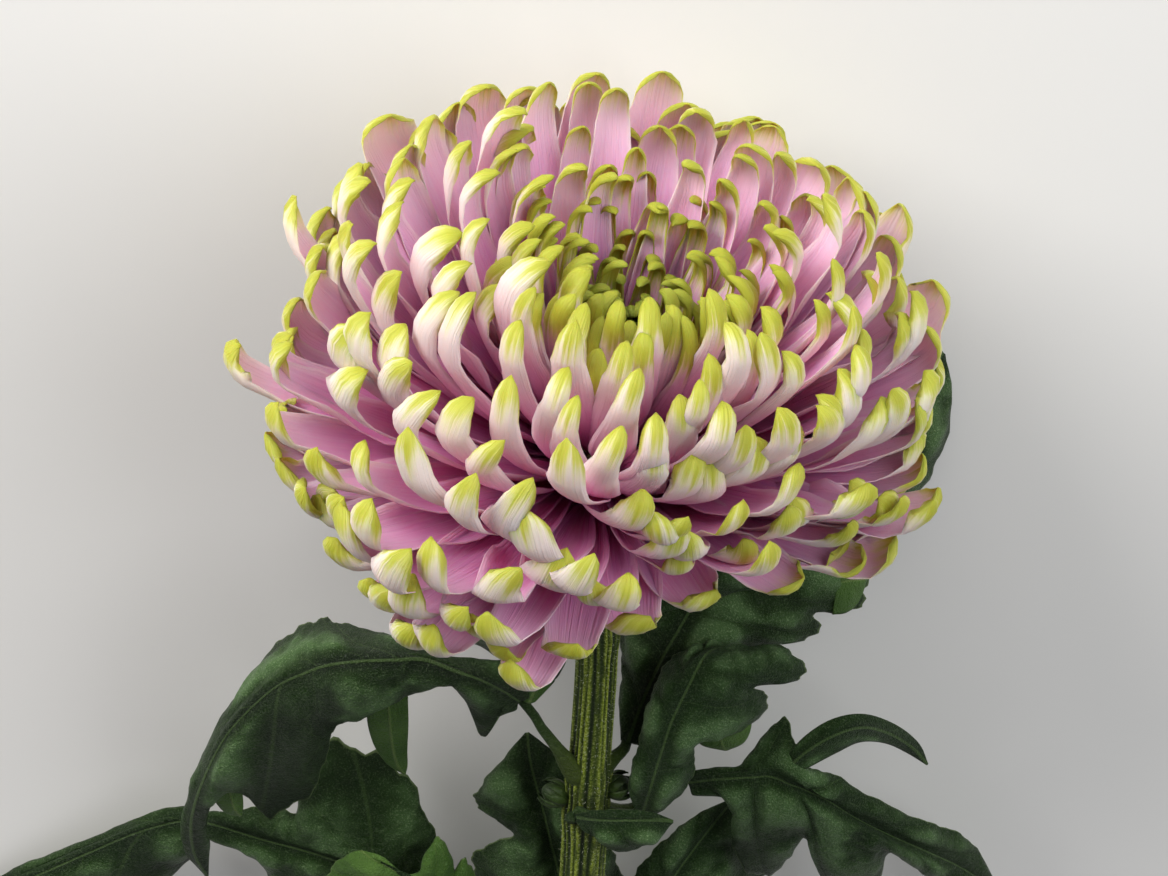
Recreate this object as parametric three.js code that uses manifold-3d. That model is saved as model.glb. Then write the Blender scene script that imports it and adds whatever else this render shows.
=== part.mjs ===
// A cut disbud chrysanthemum, lying on a surface: one large incurving bloom on a leafy stem.
// Lengths are millimetres, angles are degrees, +Z is up and the surface is z = 0.
// The stem runs along +Y, from its cut end up to the bloom.

import * as THREE from "three";
import { mergeVertices } from "three/addons/utils/BufferGeometryUtils.js";
import Module from "manifold-3d";

const wasm = await Module();
wasm.setup();

// Driving dimensions of the stem and the head.
const HEAD_HEIGHT = 54;
const HEAD_LEAN = 9;
const CALYX_LEAN = 5;
const STEM_LENGTH = 210;
const STEM_RADIUS = 4.3;
const STEM_RIBS = 6;
const RIB_HEIGHT = 0.35;
const STEM_SIDES = 18;
const STEM_RINGS = 14;
const CLEARANCE = 0.3;

// The stem's bow: how far it lies from a straight line, at distances from the receptacle.
const STEM_BOW = [[14.8, -1.2], [43, -1.0], [74, -2.4], [100, -3.6], [150, -6], [STEM_LENGTH, -9]];

// The stem swells a little at its leaf nodes and widens towards the cut end.
const STEM_NODES = [40, 76, 86, 128, 152, 180];
const NODE_SWELLING = 0.09;
const NODE_REACH = 3;
const STEM_TAPER = { top: 0.98, cut: 1.06 };

// The bloom's rule. Age runs from 0, the outermost floret, to 1, the innermost.
const FLORET_COUNT = 134;
const FLORET_WIDENING = 1.46;
const FLORET_THICKNESS = 1.3;
const FLORET_STEPS = 40;
const THINNEST = 0.5;
const BLOOM_SEED = 7;
const GOLDEN_ANGLE = 137.50776;
const FIRST_BEARING = 30;
const DOME_RADIUS = 12;
const DOME_HEIGHT = 9;
const LOWEST_ROOT = 100;
const HOOK_FROM = 0.8;
const FLORET_STATIONS = [0.3, 0.6, 0.85, 1];
const BLOOM_AGES = [
  { age: 0.0, start: 103, length: 42, width: 9.0, incurve: 12, hook: 80, cup: 0.9 },
  { age: 0.12, start: 97, length: 49, width: 9.6, incurve: 18, hook: 95, cup: 1.0 },
  { age: 0.3, start: 84, length: 57, width: 10.4, incurve: 25, hook: 105, cup: 1.1 },
  { age: 0.5, start: 67, length: 61, width: 10.6, incurve: 28, hook: 110, cup: 1.15 },
  { age: 0.68, start: 52, length: 57, width: 10.0, incurve: 30, hook: 110, cup: 1.2 },
  { age: 0.82, start: 39, length: 47, width: 8.6, incurve: 30, hook: 110, cup: 1.25 },
  { age: 0.92, start: 28, length: 36, width: 6.8, incurve: 28, hook: 105, cup: 1.25 },
  { age: 1.0, start: 14, length: 22, width: 4.6, incurve: 24, hook: 95, cup: 1.2 },
];

// How much each floret may differ from the rule, over the whole spread.
const SPREAD = {
  start: 10, length: 0.14, width: 0.26, incurve: 18, hook: 50, cup: 0.4, bearing: 0.12, sway: 0.35, twist: 0.9,
};

// The bloom is lopsided: bearing round it, length factor and added droop of the outer florets.
const SIDES = [
  [0, 0.94, 0], [25, 0.86, -1], [50, 0.74, -6], [90, 0.82, -3], [105, 0.98, 0], [125, 1.05, 1],
  [150, 0.98, 0], [180, 0.99, 0], [300, 1, 0], [335, 0.95, 0], [360, 0.94, 0],
];
const SIDES_TO_AGE = 0.8;
const SIDES_FADE = 0.35;

// The hidden core that the florets stand out of: radius and height over the receptacle.
const CORE_PROFILE = [
  [0, -3.7], [12.4, -3.7], [14, -5.5], [24, -5.5], [29.5, 0], [30.5, 10], [29, 20], [23, 27],
  [14, 26], [7, 19], [0, 15],
];
const CORE_SIDES = 18;

// The weight of the head bends its lowest florets back from the surface.
const PRESS_FROM = 25;
const PRESS_LIFT = 2.6;
const PRESS_TO = -6;
const SURFACE_SLAB = 60;

// The calyx: radius and height over the receptacle, and the ridges of its bracts.
const CALYX_PROFILE = [[4.7, -14], [8.5, -11.5], [11.2, -7.5], [12, -4.1]];
const CALYX_SIDES = 39;
const BRACT_COUNT = 13;
const BRACT_RELIEF = 0.05;

// The leaves are drawn as they look from above the flower. A point of an outline is its place
// in that picture, 1168 wide and 876 high, and its height above the surface in millimetres.
const PICTURE = { centreX: 584, centreY: 438, headX: 604, headY: 455 };
const PICTURE_SCALE = 0.1683;
const PICTURE_DISTANCE = 650;
const LOOK_DOWN = 63.6;
const LEAF_THICKNESS = 0.8;
const LEAF_BULGE = 1.1;

// Each leaf: the stem node it grows from, its stalk's way to the blade, and rows that cross the
// blade from its base to its tip. A row goes from margin to margin over the midrib; a row of
// five also gives a point between midrib and margin, and the last row is the tip alone.
const LEAVES = {
  leaf_left_upper: {
    node: 76,
    stalk: [[574, 770, 39], [548, 736, 42]],
    rows: [
      [[528, 697, 42.5], [519, 701, 43.5], [514, 708, 42.5]],
      [[552, 679, 41], [511, 696, 45], [500, 716, 43]],
      [[543, 660, 41], [503, 691, 46], [484, 735, 36]],
      [[505, 662, 43], [480, 680, 47], [462, 694, 44]],
      [[466, 660, 43], [456, 672, 47.5], [446, 683, 45]],
      [[424, 654, 42], [424, 661, 48], [424, 688, 45]],
      [[383, 638, 38], [400, 658, 48], [392, 709, 42], [390, 690, 45], [406, 770, 30]],
      [[342, 625, 34], [360, 664, 47], [364, 714, 41]],
      [[322, 620, 32], [328, 668, 45], [334, 726, 38]],
      [[298, 631, 31], [304, 676, 43], [327, 748, 34]],
      [[272, 652, 31], [277, 688, 41], [312, 789, 28]],
      [[245, 688, 31], [248, 712, 38], [262, 813, 23]],
      [[219, 724, 31], [224, 740, 35], [240, 776, 29]],
      [[198, 771, 26], [203, 783, 30], [216, 796, 27]],
      [[187, 812, 21], [192, 820, 24], [205, 822, 22]],
      [[186, 848, 17], [194, 852, 19], [208, 842, 18]],
      [[208, 878, 15]],
    ],
  },
  leaf_left_lower: {
    node: 128,
    stalk: [[560, 958, 22], [495, 930, 21]],
    rows: [
      [[448, 893, 19], [440, 905, 20], [430, 915, 19]],
      [[443, 860, 20], [418, 893, 22], [412, 925, 18]],
      [[426, 815, 21], [396, 884, 23], [385, 925, 16]],
      [[404, 772, 21], [372, 876, 23.5], [360, 915, 15]],
      [[366, 750, 21], [352, 869, 24], [330, 910, 14]],
      [[320, 743, 20], [332, 861, 23.5], [300, 908, 12]],
      [[306, 778, 20], [316, 856, 23], [285, 895, 14]],
      [[300, 812, 20], [296, 849, 22], [272, 878, 16]],
      [[268, 806, 18], [266, 841, 20], [257, 856, 17]],
      [[235, 812, 16], [238, 832, 18], [232, 842, 16]],
      [[205, 812, 14], [208, 823, 16], [206, 836, 13]],
      [[180, 807, 12], [180, 821, 14], [187, 858, 7]],
      [[140, 818, 10], [138, 832, 12.5], [150, 890, 4.5]],
      [[95, 838, 8], [92, 851, 10.5], [108, 915, 3.5]],
      [[45, 857, 6], [42, 873, 8.5], [60, 930, 3]],
      [[0, 877, 4], [-4, 894, 6], [10, 935, 3]],
      [[-46, 915, 3]],
    ],
  },
  leaf_left_bottom: {
    node: 152,
    stalk: [[560, 1052, 19], [530, 1050, 21]],
    rows: [
      [[512, 1040, 22], [503, 1046, 22.5], [492, 1056, 22]],
      [[515, 985, 22], [480, 1012, 25], [440, 1035, 21]],
      [[490, 925, 24], [460, 978, 27], [405, 1010, 20]],
      [[478, 892, 26], [450, 955, 28], [400, 985, 21]],
      [[466, 858, 27], [438, 930, 29], [372, 960, 20]],
      [[455, 873, 28], [430, 910, 29], [352, 930, 20]],
      [[440, 836, 28], [420, 893, 30], [350, 912, 23.5]],
      [[427, 869, 29.5], [408, 880, 30], [333, 893, 25]],
      [[405, 878, 29.5], [390, 868, 30], [329, 872, 26.5]],
      [[386, 860, 29], [372, 859, 29.5], [345, 856, 28]],
      [[360, 850, 28.5]],
    ],
  },
  leaf_left_back: {
    node: 40,
    stalk: [[594, 634, 42]],
    rows: [
      [[582, 634, 41], [578, 642, 41.5], [573, 652, 41]],
      [[560, 610, 37], [556, 638, 39.5], [553, 678, 33]],
      [[530, 590, 34], [530, 630, 37.5], [522, 662, 31]],
      [[495, 575, 31], [500, 618, 35.5], [492, 650, 29]],
      [[462, 560, 27], [468, 604, 32.5], [458, 632, 27]],
      [[432, 550, 23], [438, 589, 28.5], [425, 610, 24]],
      [[405, 548, 20], [412, 574, 23.5], [398, 590, 20]],
      [[388, 560, 18]],
    ],
  },
  leaf_behind_stem: {
    node: 128,
    stalk: [[578, 975, 19]],
    rows: [
      [[560, 958, 16.5], [572, 960, 18], [588, 962, 16]],
      [[480, 928, 12], [566, 940, 20], [618, 940, 14]],
      [[502, 905, 17], [563, 915, 21], [610, 905, 16]],
      [[474, 868, 17], [560, 885, 22], [620, 875, 16.5]],
      [[482, 847, 18], [555, 860, 22.5], [610, 850, 18]],
      [[514, 834, 22], [551, 845, 23], [598, 835, 20]],
      [[496, 818, 22], [547, 828, 24], [604, 812, 20]],
      [[477, 802, 20], [542, 808, 24], [598, 792, 21]],
      [[481, 786, 21], [536, 785, 24], [575, 768, 22]],
      [[505, 757, 23], [530, 760, 24.5], [552, 750, 23]],
      [[527, 731, 23]],
    ],
  },
  leaf_right_front: {
    node: 86,
    stalk: [[622, 815, 36]],
    rows: [
      [[637, 811, 37], [643, 812, 38], [652, 815, 37]],
      [[630, 788, 38], [650, 790, 41], [668, 804, 39]],
      [[634, 766, 39], [656, 770, 42.5], [687, 784, 38.5]],
      [[640, 743, 40], [663, 748, 43.5], [694, 762, 39]],
      [[647, 716, 40], [672, 722, 44], [696, 742, 41]],
      [[655, 692, 40], [682, 700, 44], [745, 726, 34]],
      [[663, 672, 39], [690, 684, 43.5], [768, 698, 34]],
      [[674, 658, 37], [697, 671, 42.5], [755, 686, 37]],
      [[690, 651, 35], [703, 660, 41], [803, 676, 32]],
      [[703, 648, 33], [711, 653, 39], [790, 654, 32]],
      [[716, 647, 31], [722, 649, 36], [762, 647, 31]],
      [[740, 652, 32]],
    ],
  },
  leaf_right_back: {
    node: 76,
    stalk: [[616, 756, 36.5]],
    rows: [
      [[622, 740, 34.5], [628, 742, 35.5], [638, 744, 34.5]],
      [[621, 704, 32], [640, 708, 34.5], [653, 710, 33]],
      [[624, 668, 28.5], [652, 680, 33.5], [666, 693, 31]],
      [[622, 640, 25.5], [664, 656, 32], [692, 672, 29]],
      [[626, 610, 24], [678, 633, 31], [733, 658, 26]],
      [[640, 585, 23], [690, 613, 30], [768, 642, 25]],
      [[660, 562, 21], [703, 597, 28.5], [815, 634, 22]],
      [[680, 545, 20], [718, 582, 27], [816, 612, 21]],
      [[705, 530, 19], [735, 568, 25], [852, 609, 18]],
      [[735, 520, 17], [755, 556, 23], [866, 585, 16]],
      [[765, 515, 15], [778, 547, 20], [862, 557, 15]],
      [[795, 515, 13], [800, 540, 17], [838, 548, 14]],
      [[825, 530, 12]],
    ],
  },
  leaf_right_lower: {
    node: 86,
    stalk: [[625, 812, 31], [660, 797, 32]],
    rows: [
      [[683, 772, 32.5], [688, 782, 33], [694, 793, 32.5]],
      [[712, 768, 33.5], [715, 779, 35], [726, 796, 33]],
      [[741, 767, 34], [742, 777, 36], [737, 822, 30]],
      [[756, 748, 33], [754, 777, 36.5], [735, 850, 27]],
      [[783, 718, 30], [766, 777, 36.5], [757, 874, 24]],
      [[795, 742, 34], [778, 779, 36.5], [784, 862, 27]],
      [[928, 765, 24], [862, 722, 36], [792, 784, 36.5], [800, 812, 35], [806, 838, 31]],
      [[808, 768, 35], [808, 791, 35.5], [838, 905, 18]],
      [[832, 774, 33], [830, 802, 34], [868, 903, 17]],
      [[872, 797, 30], [858, 820, 31], [888, 852, 26]],
      [[922, 820, 24], [895, 838, 27], [918, 862, 22]],
      [[952, 830, 19], [930, 853, 22], [935, 882, 16]],
      [[975, 848, 14], [962, 868, 16], [960, 897, 11]],
      [[1000, 892, 8]],
    ],
  },
  leaf_right_bottom: {
    node: 128,
    stalk: [[604, 990, 22]],
    rows: [
      [[604, 985, 22], [612, 992, 22.5], [622, 1000, 21]],
      [[612, 935, 22], [628, 960, 23.5], [665, 975, 17]],
      [[622, 897, 23], [646, 925, 24.5], [700, 945, 14]],
      [[636, 873, 23.5], [663, 895, 25], [735, 915, 12]],
      [[653, 851, 24], [680, 868, 25.5], [760, 885, 12]],
      [[674, 832, 24], [697, 845, 25], [758, 860, 14]],
      [[697, 815, 23.5], [712, 825, 24.5], [750, 835, 17]],
      [[735, 797, 21]],
    ],
  },
  leaf_right_high: {
    node: 40,
    stalk: [[618, 618, 42]],
    rows: [
      [[634, 598, 40], [638, 606, 40.5], [643, 615, 40]],
      [[690, 549, 34], [700, 572, 36.5], [714, 598, 34.5]],
      [[735, 505, 28], [750, 540, 32], [775, 578, 28.5]],
      [[785, 460, 21], [800, 505, 26], [834, 543, 21]],
      [[830, 415, 13], [848, 465, 18.5], [884, 513, 14]],
      [[868, 380, 8], [890, 425, 13.5], [930, 472, 9]],
      [[905, 357, 5], [922, 390, 9], [948, 418, 6]],
      [[944, 350, 4]],
    ],
  },
  leaf_small_front: {
    node: 86,
    stalk: [[572, 818, 38]],
    rows: [
      [[576, 814, 40.6], [577, 817, 41], [578, 821, 40.6]],
      [[592, 811, 42.5], [592, 819, 43.3], [593, 833, 42]],
      [[612, 810, 43.5], [612, 820, 44.5], [612, 847, 42]],
      [[635, 811, 43.5], [634, 820, 44.8], [634, 848, 42]],
      [[655, 814, 43], [654, 820, 44], [655, 834, 42.5]],
      [[674, 821, 42.5]],
    ],
  },
};
const STALK_RADIUS = { base: 1.9, blade: 1.1, tip: 0.45 };
const STALK_SIDES = 5;
const STALK_RINGS = 10;
const RIB_REACH = 0.5;
const TIP_WIDTH = 0.06;

// The buds in the leaf axils: node, side of the stem, length and radius.
const BUDS = {
  bud_left: { node: 82, side: -1, length: 5.4, radius: 2.4 },
  bud_right: { node: 80, side: 1, length: 4.8, radius: 2.5 },
};
const BUD_PROFILE = [[0, 0], [0.55, 0.03], [0.9, 0.25], [1, 0.5], [0.8, 0.78], [0.4, 0.95], [0, 1]];
const BUD_SIDES = 10;
const BUD_LEAN = 30;
const BUD_SEAT = 0.4;

// The part's origin is under the middle of its box; the receptacle stands here.
const HEAD_PLACE = new THREE.Vector3(24.5, 72.6, HEAD_HEIGHT);

const radians = THREE.MathUtils.degToRad;
const clamp = THREE.MathUtils.clamp;
const lerp = THREE.MathUtils.lerp;

function smooth(value) {
  return THREE.MathUtils.smoothstep(value, 0, 1);
}

function vector(x, y, z) {
  return new THREE.Vector3(x, y, z);
}

// Directions that the stem and the head are built on.
const tilt = Math.asin((HEAD_HEIGHT - STEM_RADIUS) / STEM_LENGTH);
const stemUp = vector(0, Math.cos(tilt), Math.sin(tilt));
const across = vector(1, 0, 0);

function leaningAxes(lean) {
  const k = stemUp.clone().multiplyScalar(Math.cos(lean)).addScaledVector(across, Math.sin(lean));
  const i = across.clone().multiplyScalar(Math.cos(lean)).addScaledVector(stemUp, -Math.sin(lean));
  const j = vector(0, 0, 0).crossVectors(i, k);
  return { i, j, k };
}

// A repeatable draw between 0 and 1.
function seededDraw(seed) {
  let state = seed >>> 0;
  return () => {
    state = (state + 0x6d2b79f5) >>> 0;
    let t = state;
    t = Math.imul(t ^ (t >>> 15), t | 1);
    t ^= t + Math.imul(t ^ (t >>> 7), t | 61);
    return ((t ^ (t >>> 14)) >>> 0) / 4294967296;
  };
}

// A value read from a table between its two nearest entries.
function between(table, place, placeKey, valueKey) {
  let i = 1;
  while (i < table.length - 1 && table[i][placeKey] < place) {
    i += 1;
  }
  const low = table[i - 1];
  const high = table[i];
  return lerp(low[valueKey], high[valueKey], (place - low[placeKey]) / (high[placeKey] - low[placeKey]));
}

// Meshes and solids.
function meshOf(points, triangles) {
  const geometry = new THREE.BufferGeometry();
  const places = points.flatMap((point) => point.toArray());
  geometry.setAttribute("position", new THREE.Float32BufferAttribute(places, 3));
  geometry.setIndex(triangles.flat());
  return facingOut(geometry);
}

function signedVolume(geometry) {
  const at = geometry.getAttribute("position");
  const index = geometry.getIndex();
  const a = vector(0, 0, 0);
  const b = vector(0, 0, 0);
  const c = vector(0, 0, 0);
  let sum = 0;
  for (let t = 0; t < index.count; t += 3) {
    a.fromBufferAttribute(at, index.getX(t));
    b.fromBufferAttribute(at, index.getX(t + 1));
    c.fromBufferAttribute(at, index.getX(t + 2));
    sum += a.dot(b.cross(c)) / 6;
  }
  return sum;
}

function facingOut(geometry) {
  if (signedVolume(geometry) < 0) {
    const index = geometry.getIndex();
    for (let t = 0; t < index.count; t += 3) {
      const first = index.getX(t);
      index.setX(t, index.getX(t + 1));
      index.setX(t + 1, first);
    }
  }
  return geometry;
}

function solidOf(geometry) {
  const plain = geometry.clone();
  plain.deleteAttribute("normal");
  plain.deleteAttribute("uv");
  const merged = mergeVertices(plain, 1e-5);
  const vertProperties = new Float32Array(merged.getAttribute("position").array);
  const triVerts = new Uint32Array(merged.getIndex().array);
  return new wasm.Manifold(new wasm.Mesh({ numProp: 3, vertProperties, triVerts }));
}

function geometryOf(solid) {
  const mesh = solid.getMesh();
  const geometry = new THREE.BufferGeometry();
  geometry.setAttribute("position", new THREE.Float32BufferAttribute(mesh.vertProperties, 3));
  geometry.setIndex(Array.from(mesh.triVerts));
  return outerBody(geometry);
}

// Keeps the one largest closed surface, so sealed pockets are filled and loose scraps go.
function outerBody(geometry) {
  const index = geometry.getIndex();
  const owner = Array.from({ length: geometry.getAttribute("position").count }, (_, v) => v);
  const find = (v) => {
    while (owner[v] !== v) {
      owner[v] = owner[owner[v]];
      v = owner[v];
    }
    return v;
  };
  for (let t = 0; t < index.count; t += 3) {
    owner[find(index.getX(t))] = find(index.getX(t + 1));
    owner[find(index.getX(t + 1))] = find(index.getX(t + 2));
  }
  const bodies = new Map();
  for (let t = 0; t < index.count; t += 3) {
    const key = find(index.getX(t));
    bodies.set(key, bodies.get(key) ?? []);
    bodies.get(key).push(index.getX(t), index.getX(t + 1), index.getX(t + 2));
  }
  let best = null;
  let bestVolume = -Infinity;
  for (const triangles of bodies.values()) {
    const body = new THREE.BufferGeometry();
    body.setAttribute("position", geometry.getAttribute("position"));
    body.setIndex(triangles);
    const volume = signedVolume(body);
    if (volume > bestVolume) {
      best = body;
      bestVolume = volume;
    }
  }
  return best;
}

// A closed tube through rings of equal count, each end closed about its middle.
function loft(rings) {
  const count = rings[0].length;
  const points = rings.flat();
  const triangles = [];
  for (let r = 0; r < rings.length - 1; r += 1) {
    for (let c = 0; c < count; c += 1) {
      const a = r * count + c;
      const b = r * count + ((c + 1) % count);
      triangles.push([a, b, b + count], [a, b + count, a + count]);
    }
  }
  for (const [ring, start] of [[rings[0], 0], [rings.at(-1), (rings.length - 1) * count]]) {
    const middle = ring.reduce((sum, p) => sum.add(p), vector(0, 0, 0)).divideScalar(count);
    points.push(middle);
    for (let c = 0; c < count; c += 1) {
      const a = start + c;
      const b = start + ((c + 1) % count);
      triangles.push(start === 0 ? [b, a, points.length - 1] : [a, b, points.length - 1]);
    }
  }
  return meshOf(points, triangles);
}

// A closed blade between two faces of rows and columns, split into triangles alike.
function blade(top, bottom) {
  const rows = top.length;
  const columns = top[0].length;
  const points = [...top.flat(), ...bottom.flat()];
  const under = rows * columns;
  const triangles = [];
  const quad = (a, b, c, d) => triangles.push([a, b, c], [a, c, d]);
  for (let r = 0; r < rows - 1; r += 1) {
    for (let c = 0; c < columns - 1; c += 1) {
      const a = r * columns + c;
      const b = a + 1;
      const d = a + columns;
      quad(a, b, d + 1, d);
      triangles.push([under + a, under + d + 1, under + b], [under + a, under + d, under + d + 1]);
    }
    const left = r * columns;
    const right = left + columns - 1;
    quad(left, left + columns, under + left + columns, under + left);
    quad(right, under + right, under + right + columns, right + columns);
  }
  for (let c = 0; c < columns - 1; c += 1) {
    const last = (rows - 1) * columns + c;
    quad(c, under + c, under + c + 1, c + 1);
    quad(last, last + 1, under + last + 1, under + last);
  }
  return meshOf(points, triangles);
}

// A round or ribbed tube along a curve. Its radius may change from ring to ring.
function tube(path, sides, ringCount, radiusAt, up = vector(0, 0, 1)) {
  const rings = [];
  for (let r = 0; r <= ringCount; r += 1) {
    const t = r / ringCount;
    const centre = path.getPointAt(t);
    const tangent = path.getTangentAt(t);
    const side = vector(0, 0, 0).crossVectors(tangent, up).normalize();
    const rise = vector(0, 0, 0).crossVectors(side, tangent);
    const ring = [];
    for (let c = 0; c < sides; c += 1) {
      const angle = (c / sides) * Math.PI * 2;
      const radius = radiusAt(t, angle);
      ring.push(
        centre.clone()
          .addScaledVector(side, Math.cos(angle) * radius)
          .addScaledVector(rise, Math.sin(angle) * radius),
      );
    }
    rings.push(ring);
  }
  return loft(rings);
}

// Stem.
function besideHead(distance, offset) {
  return HEAD_PLACE.clone().addScaledVector(stemUp, -distance).addScaledVector(across, offset);
}

const stemCurve = new THREE.CatmullRomCurve3(
  STEM_BOW.map(([distance, offset]) => besideHead(distance, offset)),
);
const stemSpan = STEM_LENGTH - STEM_BOW[0][0];

function stemPoint(distance) {
  return stemCurve.getPointAt(clamp((distance - STEM_BOW[0][0]) / stemSpan, 0, 1));
}

function stemGirth(distance) {
  const taper = lerp(STEM_TAPER.top, STEM_TAPER.cut, distance / STEM_LENGTH);
  const bulges = STEM_NODES.map((node) => Math.exp(-(((distance - node) / NODE_REACH) ** 2)));
  return STEM_RADIUS * (taper + NODE_SWELLING * Math.max(...bulges));
}

function stemSolid(grow) {
  const radiusAt = (t, angle) => {
    const girth = stemGirth(STEM_BOW[0][0] + t * stemSpan);
    return girth + grow + RIB_HEIGHT * Math.cos(angle * STEM_RIBS);
  };
  return tube(stemCurve, STEM_SIDES, STEM_RINGS, radiusAt);
}

// Calyx.
function lathed(profile, sides) {
  const points = profile.map(([radius, height]) => new THREE.Vector2(radius, height));
  const lathe = new THREE.LatheGeometry(points, sides);
  lathe.rotateX(Math.PI / 2);
  lathe.deleteAttribute("normal");
  lathe.deleteAttribute("uv");
  return lathe;
}

function onHead(geometry, lean) {
  const { i, j, k } = leaningAxes(radians(lean));
  const turn = new THREE.Matrix4().makeBasis(i, j.clone().negate(), k).setPosition(HEAD_PLACE);
  geometry.applyMatrix4(turn);
  return geometry;
}

function latheSolid(profile, sides, lean) {
  return facingOut(onHead(mergeVertices(lathed(profile, sides), 1e-4), lean));
}

const stemGrown = stemSolid(CLEARANCE);

function calyxSolid(grow) {
  const { i, j, k } = leaningAxes(radians(CALYX_LEAN));
  const last = CALYX_PROFILE.length - 1;
  const rings = CALYX_PROFILE.map(([radius, height], level) => {
    const ends = (level === last ? grow : 0) - (level === 0 ? grow : 0);
    return Array.from({ length: CALYX_SIDES }, (_, c) => {
      const angle = (c / CALYX_SIDES) * Math.PI * 2;
      const reach = radius * (1 + BRACT_RELIEF * Math.cos(angle * BRACT_COUNT)) + grow;
      return HEAD_PLACE.clone()
        .addScaledVector(k, height + ends)
        .addScaledVector(i, Math.cos(angle) * reach)
        .addScaledVector(j, Math.sin(angle) * reach);
    });
  });
  return solidOf(loft(rings));
}

// Bloom.
function florets() {
  const draw = seededDraw(BLOOM_SEED);
  const { i, j, k } = leaningAxes(radians(HEAD_LEAN));
  const made = [];
  for (let n = 0; n < FLORET_COUNT; n += 1) {
    const age = (n + 0.5) / FLORET_COUNT;
    const near = (key) => (draw() - 0.5) * SPREAD[key];
    const aged = (key) => between(BLOOM_AGES, age, "age", key);
    const shape = {
      start: aged("start") + near("start"),
      length: aged("length") * (1 + near("length")),
      width: aged("width") * (1 + near("width")) * FLORET_WIDENING,
      incurve: aged("incurve") + near("incurve"),
      hook: aged("hook") + near("hook"),
      cup: aged("cup") * (1 + near("cup")),
      bearing: radians(n * GOLDEN_ANGLE + FIRST_BEARING) + near("bearing"),
      sway: near("sway"),
      twist: near("twist"),
    };
    const bearing = THREE.MathUtils.euclideanModulo(THREE.MathUtils.radToDeg(shape.bearing), 360);
    const outer = smooth((SIDES_TO_AGE - age) / SIDES_FADE);
    shape.length *= 1 + outer * (between(SIDES, bearing, 0, 1) - 1);
    shape.start += outer * between(SIDES, bearing, 0, 2);
    made.push(floret(shape, i, j, k));
  }
  return made;
}

function floret(shape, i, j, k) {
  const outward = (bearing) => i.clone()
    .multiplyScalar(Math.cos(bearing))
    .addScaledVector(j, Math.sin(bearing));
  const base = radians(Math.min(shape.start, LOWEST_ROOT));
  const centre = HEAD_PLACE.clone()
    .addScaledVector(k, DOME_HEIGHT * Math.cos(base))
    .addScaledVector(outward(shape.bearing), DOME_RADIUS * Math.sin(base));
  const turnAt = (s) => {
    const hooked = clamp((s - HOOK_FROM) / (1 - HOOK_FROM), 0, 1) ** 1.25;
    const angle = radians(shape.start - shape.incurve * s ** 1.2 - shape.hook * hooked);
    const bearing = shape.bearing + shape.sway * s * s;
    const out = outward(bearing);
    const along = k.clone().multiplyScalar(Math.cos(angle)).addScaledVector(out, Math.sin(angle));
    const inner = k.clone().multiplyScalar(Math.sin(angle)).addScaledVector(out, -Math.cos(angle));
    const side = vector(0, 0, 0).crossVectors(along, inner);
    const twist = shape.twist * s ** 1.5;
    const width = side.clone().multiplyScalar(Math.cos(twist)).addScaledVector(inner, Math.sin(twist));
    inner.multiplyScalar(Math.cos(twist)).addScaledVector(side, -Math.sin(twist));
    return { along, inner, width };
  };
  const rings = [];
  let reached = 0;
  for (const station of FLORET_STATIONS) {
    while (reached < Math.round(FLORET_STEPS * station)) {
      const middle = turnAt((reached + 0.5) / FLORET_STEPS);
      centre.addScaledVector(middle.along, shape.length / FLORET_STEPS);
      reached += 1;
    }
    const { inner, width } = turnAt(station);
    const rounding = Math.max(1 - (Math.max(station - 0.6, 0) / 0.4) ** 3, 0) ** 0.55;
    const reach = Math.max(station < 0.6 ? 0.36 + 0.64 * smooth(station / 0.6) : rounding, 0.1);
    const curl = shape.cup * (1 + 0.75 * smooth((station - 0.62) / 0.32));
    const half = (shape.width / 2) * reach;
    const spread = (half * Math.sin(curl * 0.8)) / (curl * 0.8);
    const rise = (half * (1 - Math.cos(curl * 0.8))) / (curl * 0.8);
    const thick = FLORET_THICKNESS * Math.max(reach, THINNEST);
    const place = (w, h) => pressed(centre.clone().addScaledVector(width, w).addScaledVector(inner, h));
    rings.push([
      place(-spread, rise),
      place(0, thick / 2),
      place(spread, rise),
      place(0, -thick / 2),
    ]);
  }
  return loft(rings);
}

function pressed(point) {
  point.z += PRESS_LIFT * smooth((PRESS_FROM - point.z) / (PRESS_FROM - PRESS_TO));
  return point;
}

function bloomSolid() {
  let bloom = solidOf(latheSolid(CORE_PROFILE, CORE_SIDES, HEAD_LEAN));
  for (const geometry of florets()) {
    bloom = bloom.add(solidOf(geometry));
  }
  const slab = new THREE.BoxGeometry(STEM_LENGTH, STEM_LENGTH, SURFACE_SLAB);
  slab.translate(HEAD_PLACE.x, HEAD_PLACE.y, -SURFACE_SLAB / 2);
  return bloom.subtract(solidOf(slab)).subtract(calyxSolid(CLEARANCE));
}

// Leaves.
const pictureUp = vector(0, Math.sin(radians(LOOK_DOWN)), -Math.cos(radians(LOOK_DOWN)));
const pictureOut = vector(0, Math.cos(radians(LOOK_DOWN)), Math.sin(radians(LOOK_DOWN)));
const pictureCentre = HEAD_PLACE.clone()
  .addScaledVector(across, (PICTURE.centreX - PICTURE.headX) * PICTURE_SCALE)
  .addScaledVector(pictureUp, (PICTURE.headY - PICTURE.centreY) * PICTURE_SCALE);
const eye = pictureCentre.clone().addScaledVector(pictureOut, PICTURE_DISTANCE);

// The point seen at a place in the picture, at a height above the surface.
function seen([x, y, height]) {
  const ray = pictureCentre.clone()
    .addScaledVector(across, (x - PICTURE.centreX) * PICTURE_SCALE)
    .addScaledVector(pictureUp, (PICTURE.centreY - y) * PICTURE_SCALE)
    .sub(eye);
  return eye.clone().addScaledVector(ray, (height - eye.z) / ray.z);
}

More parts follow.
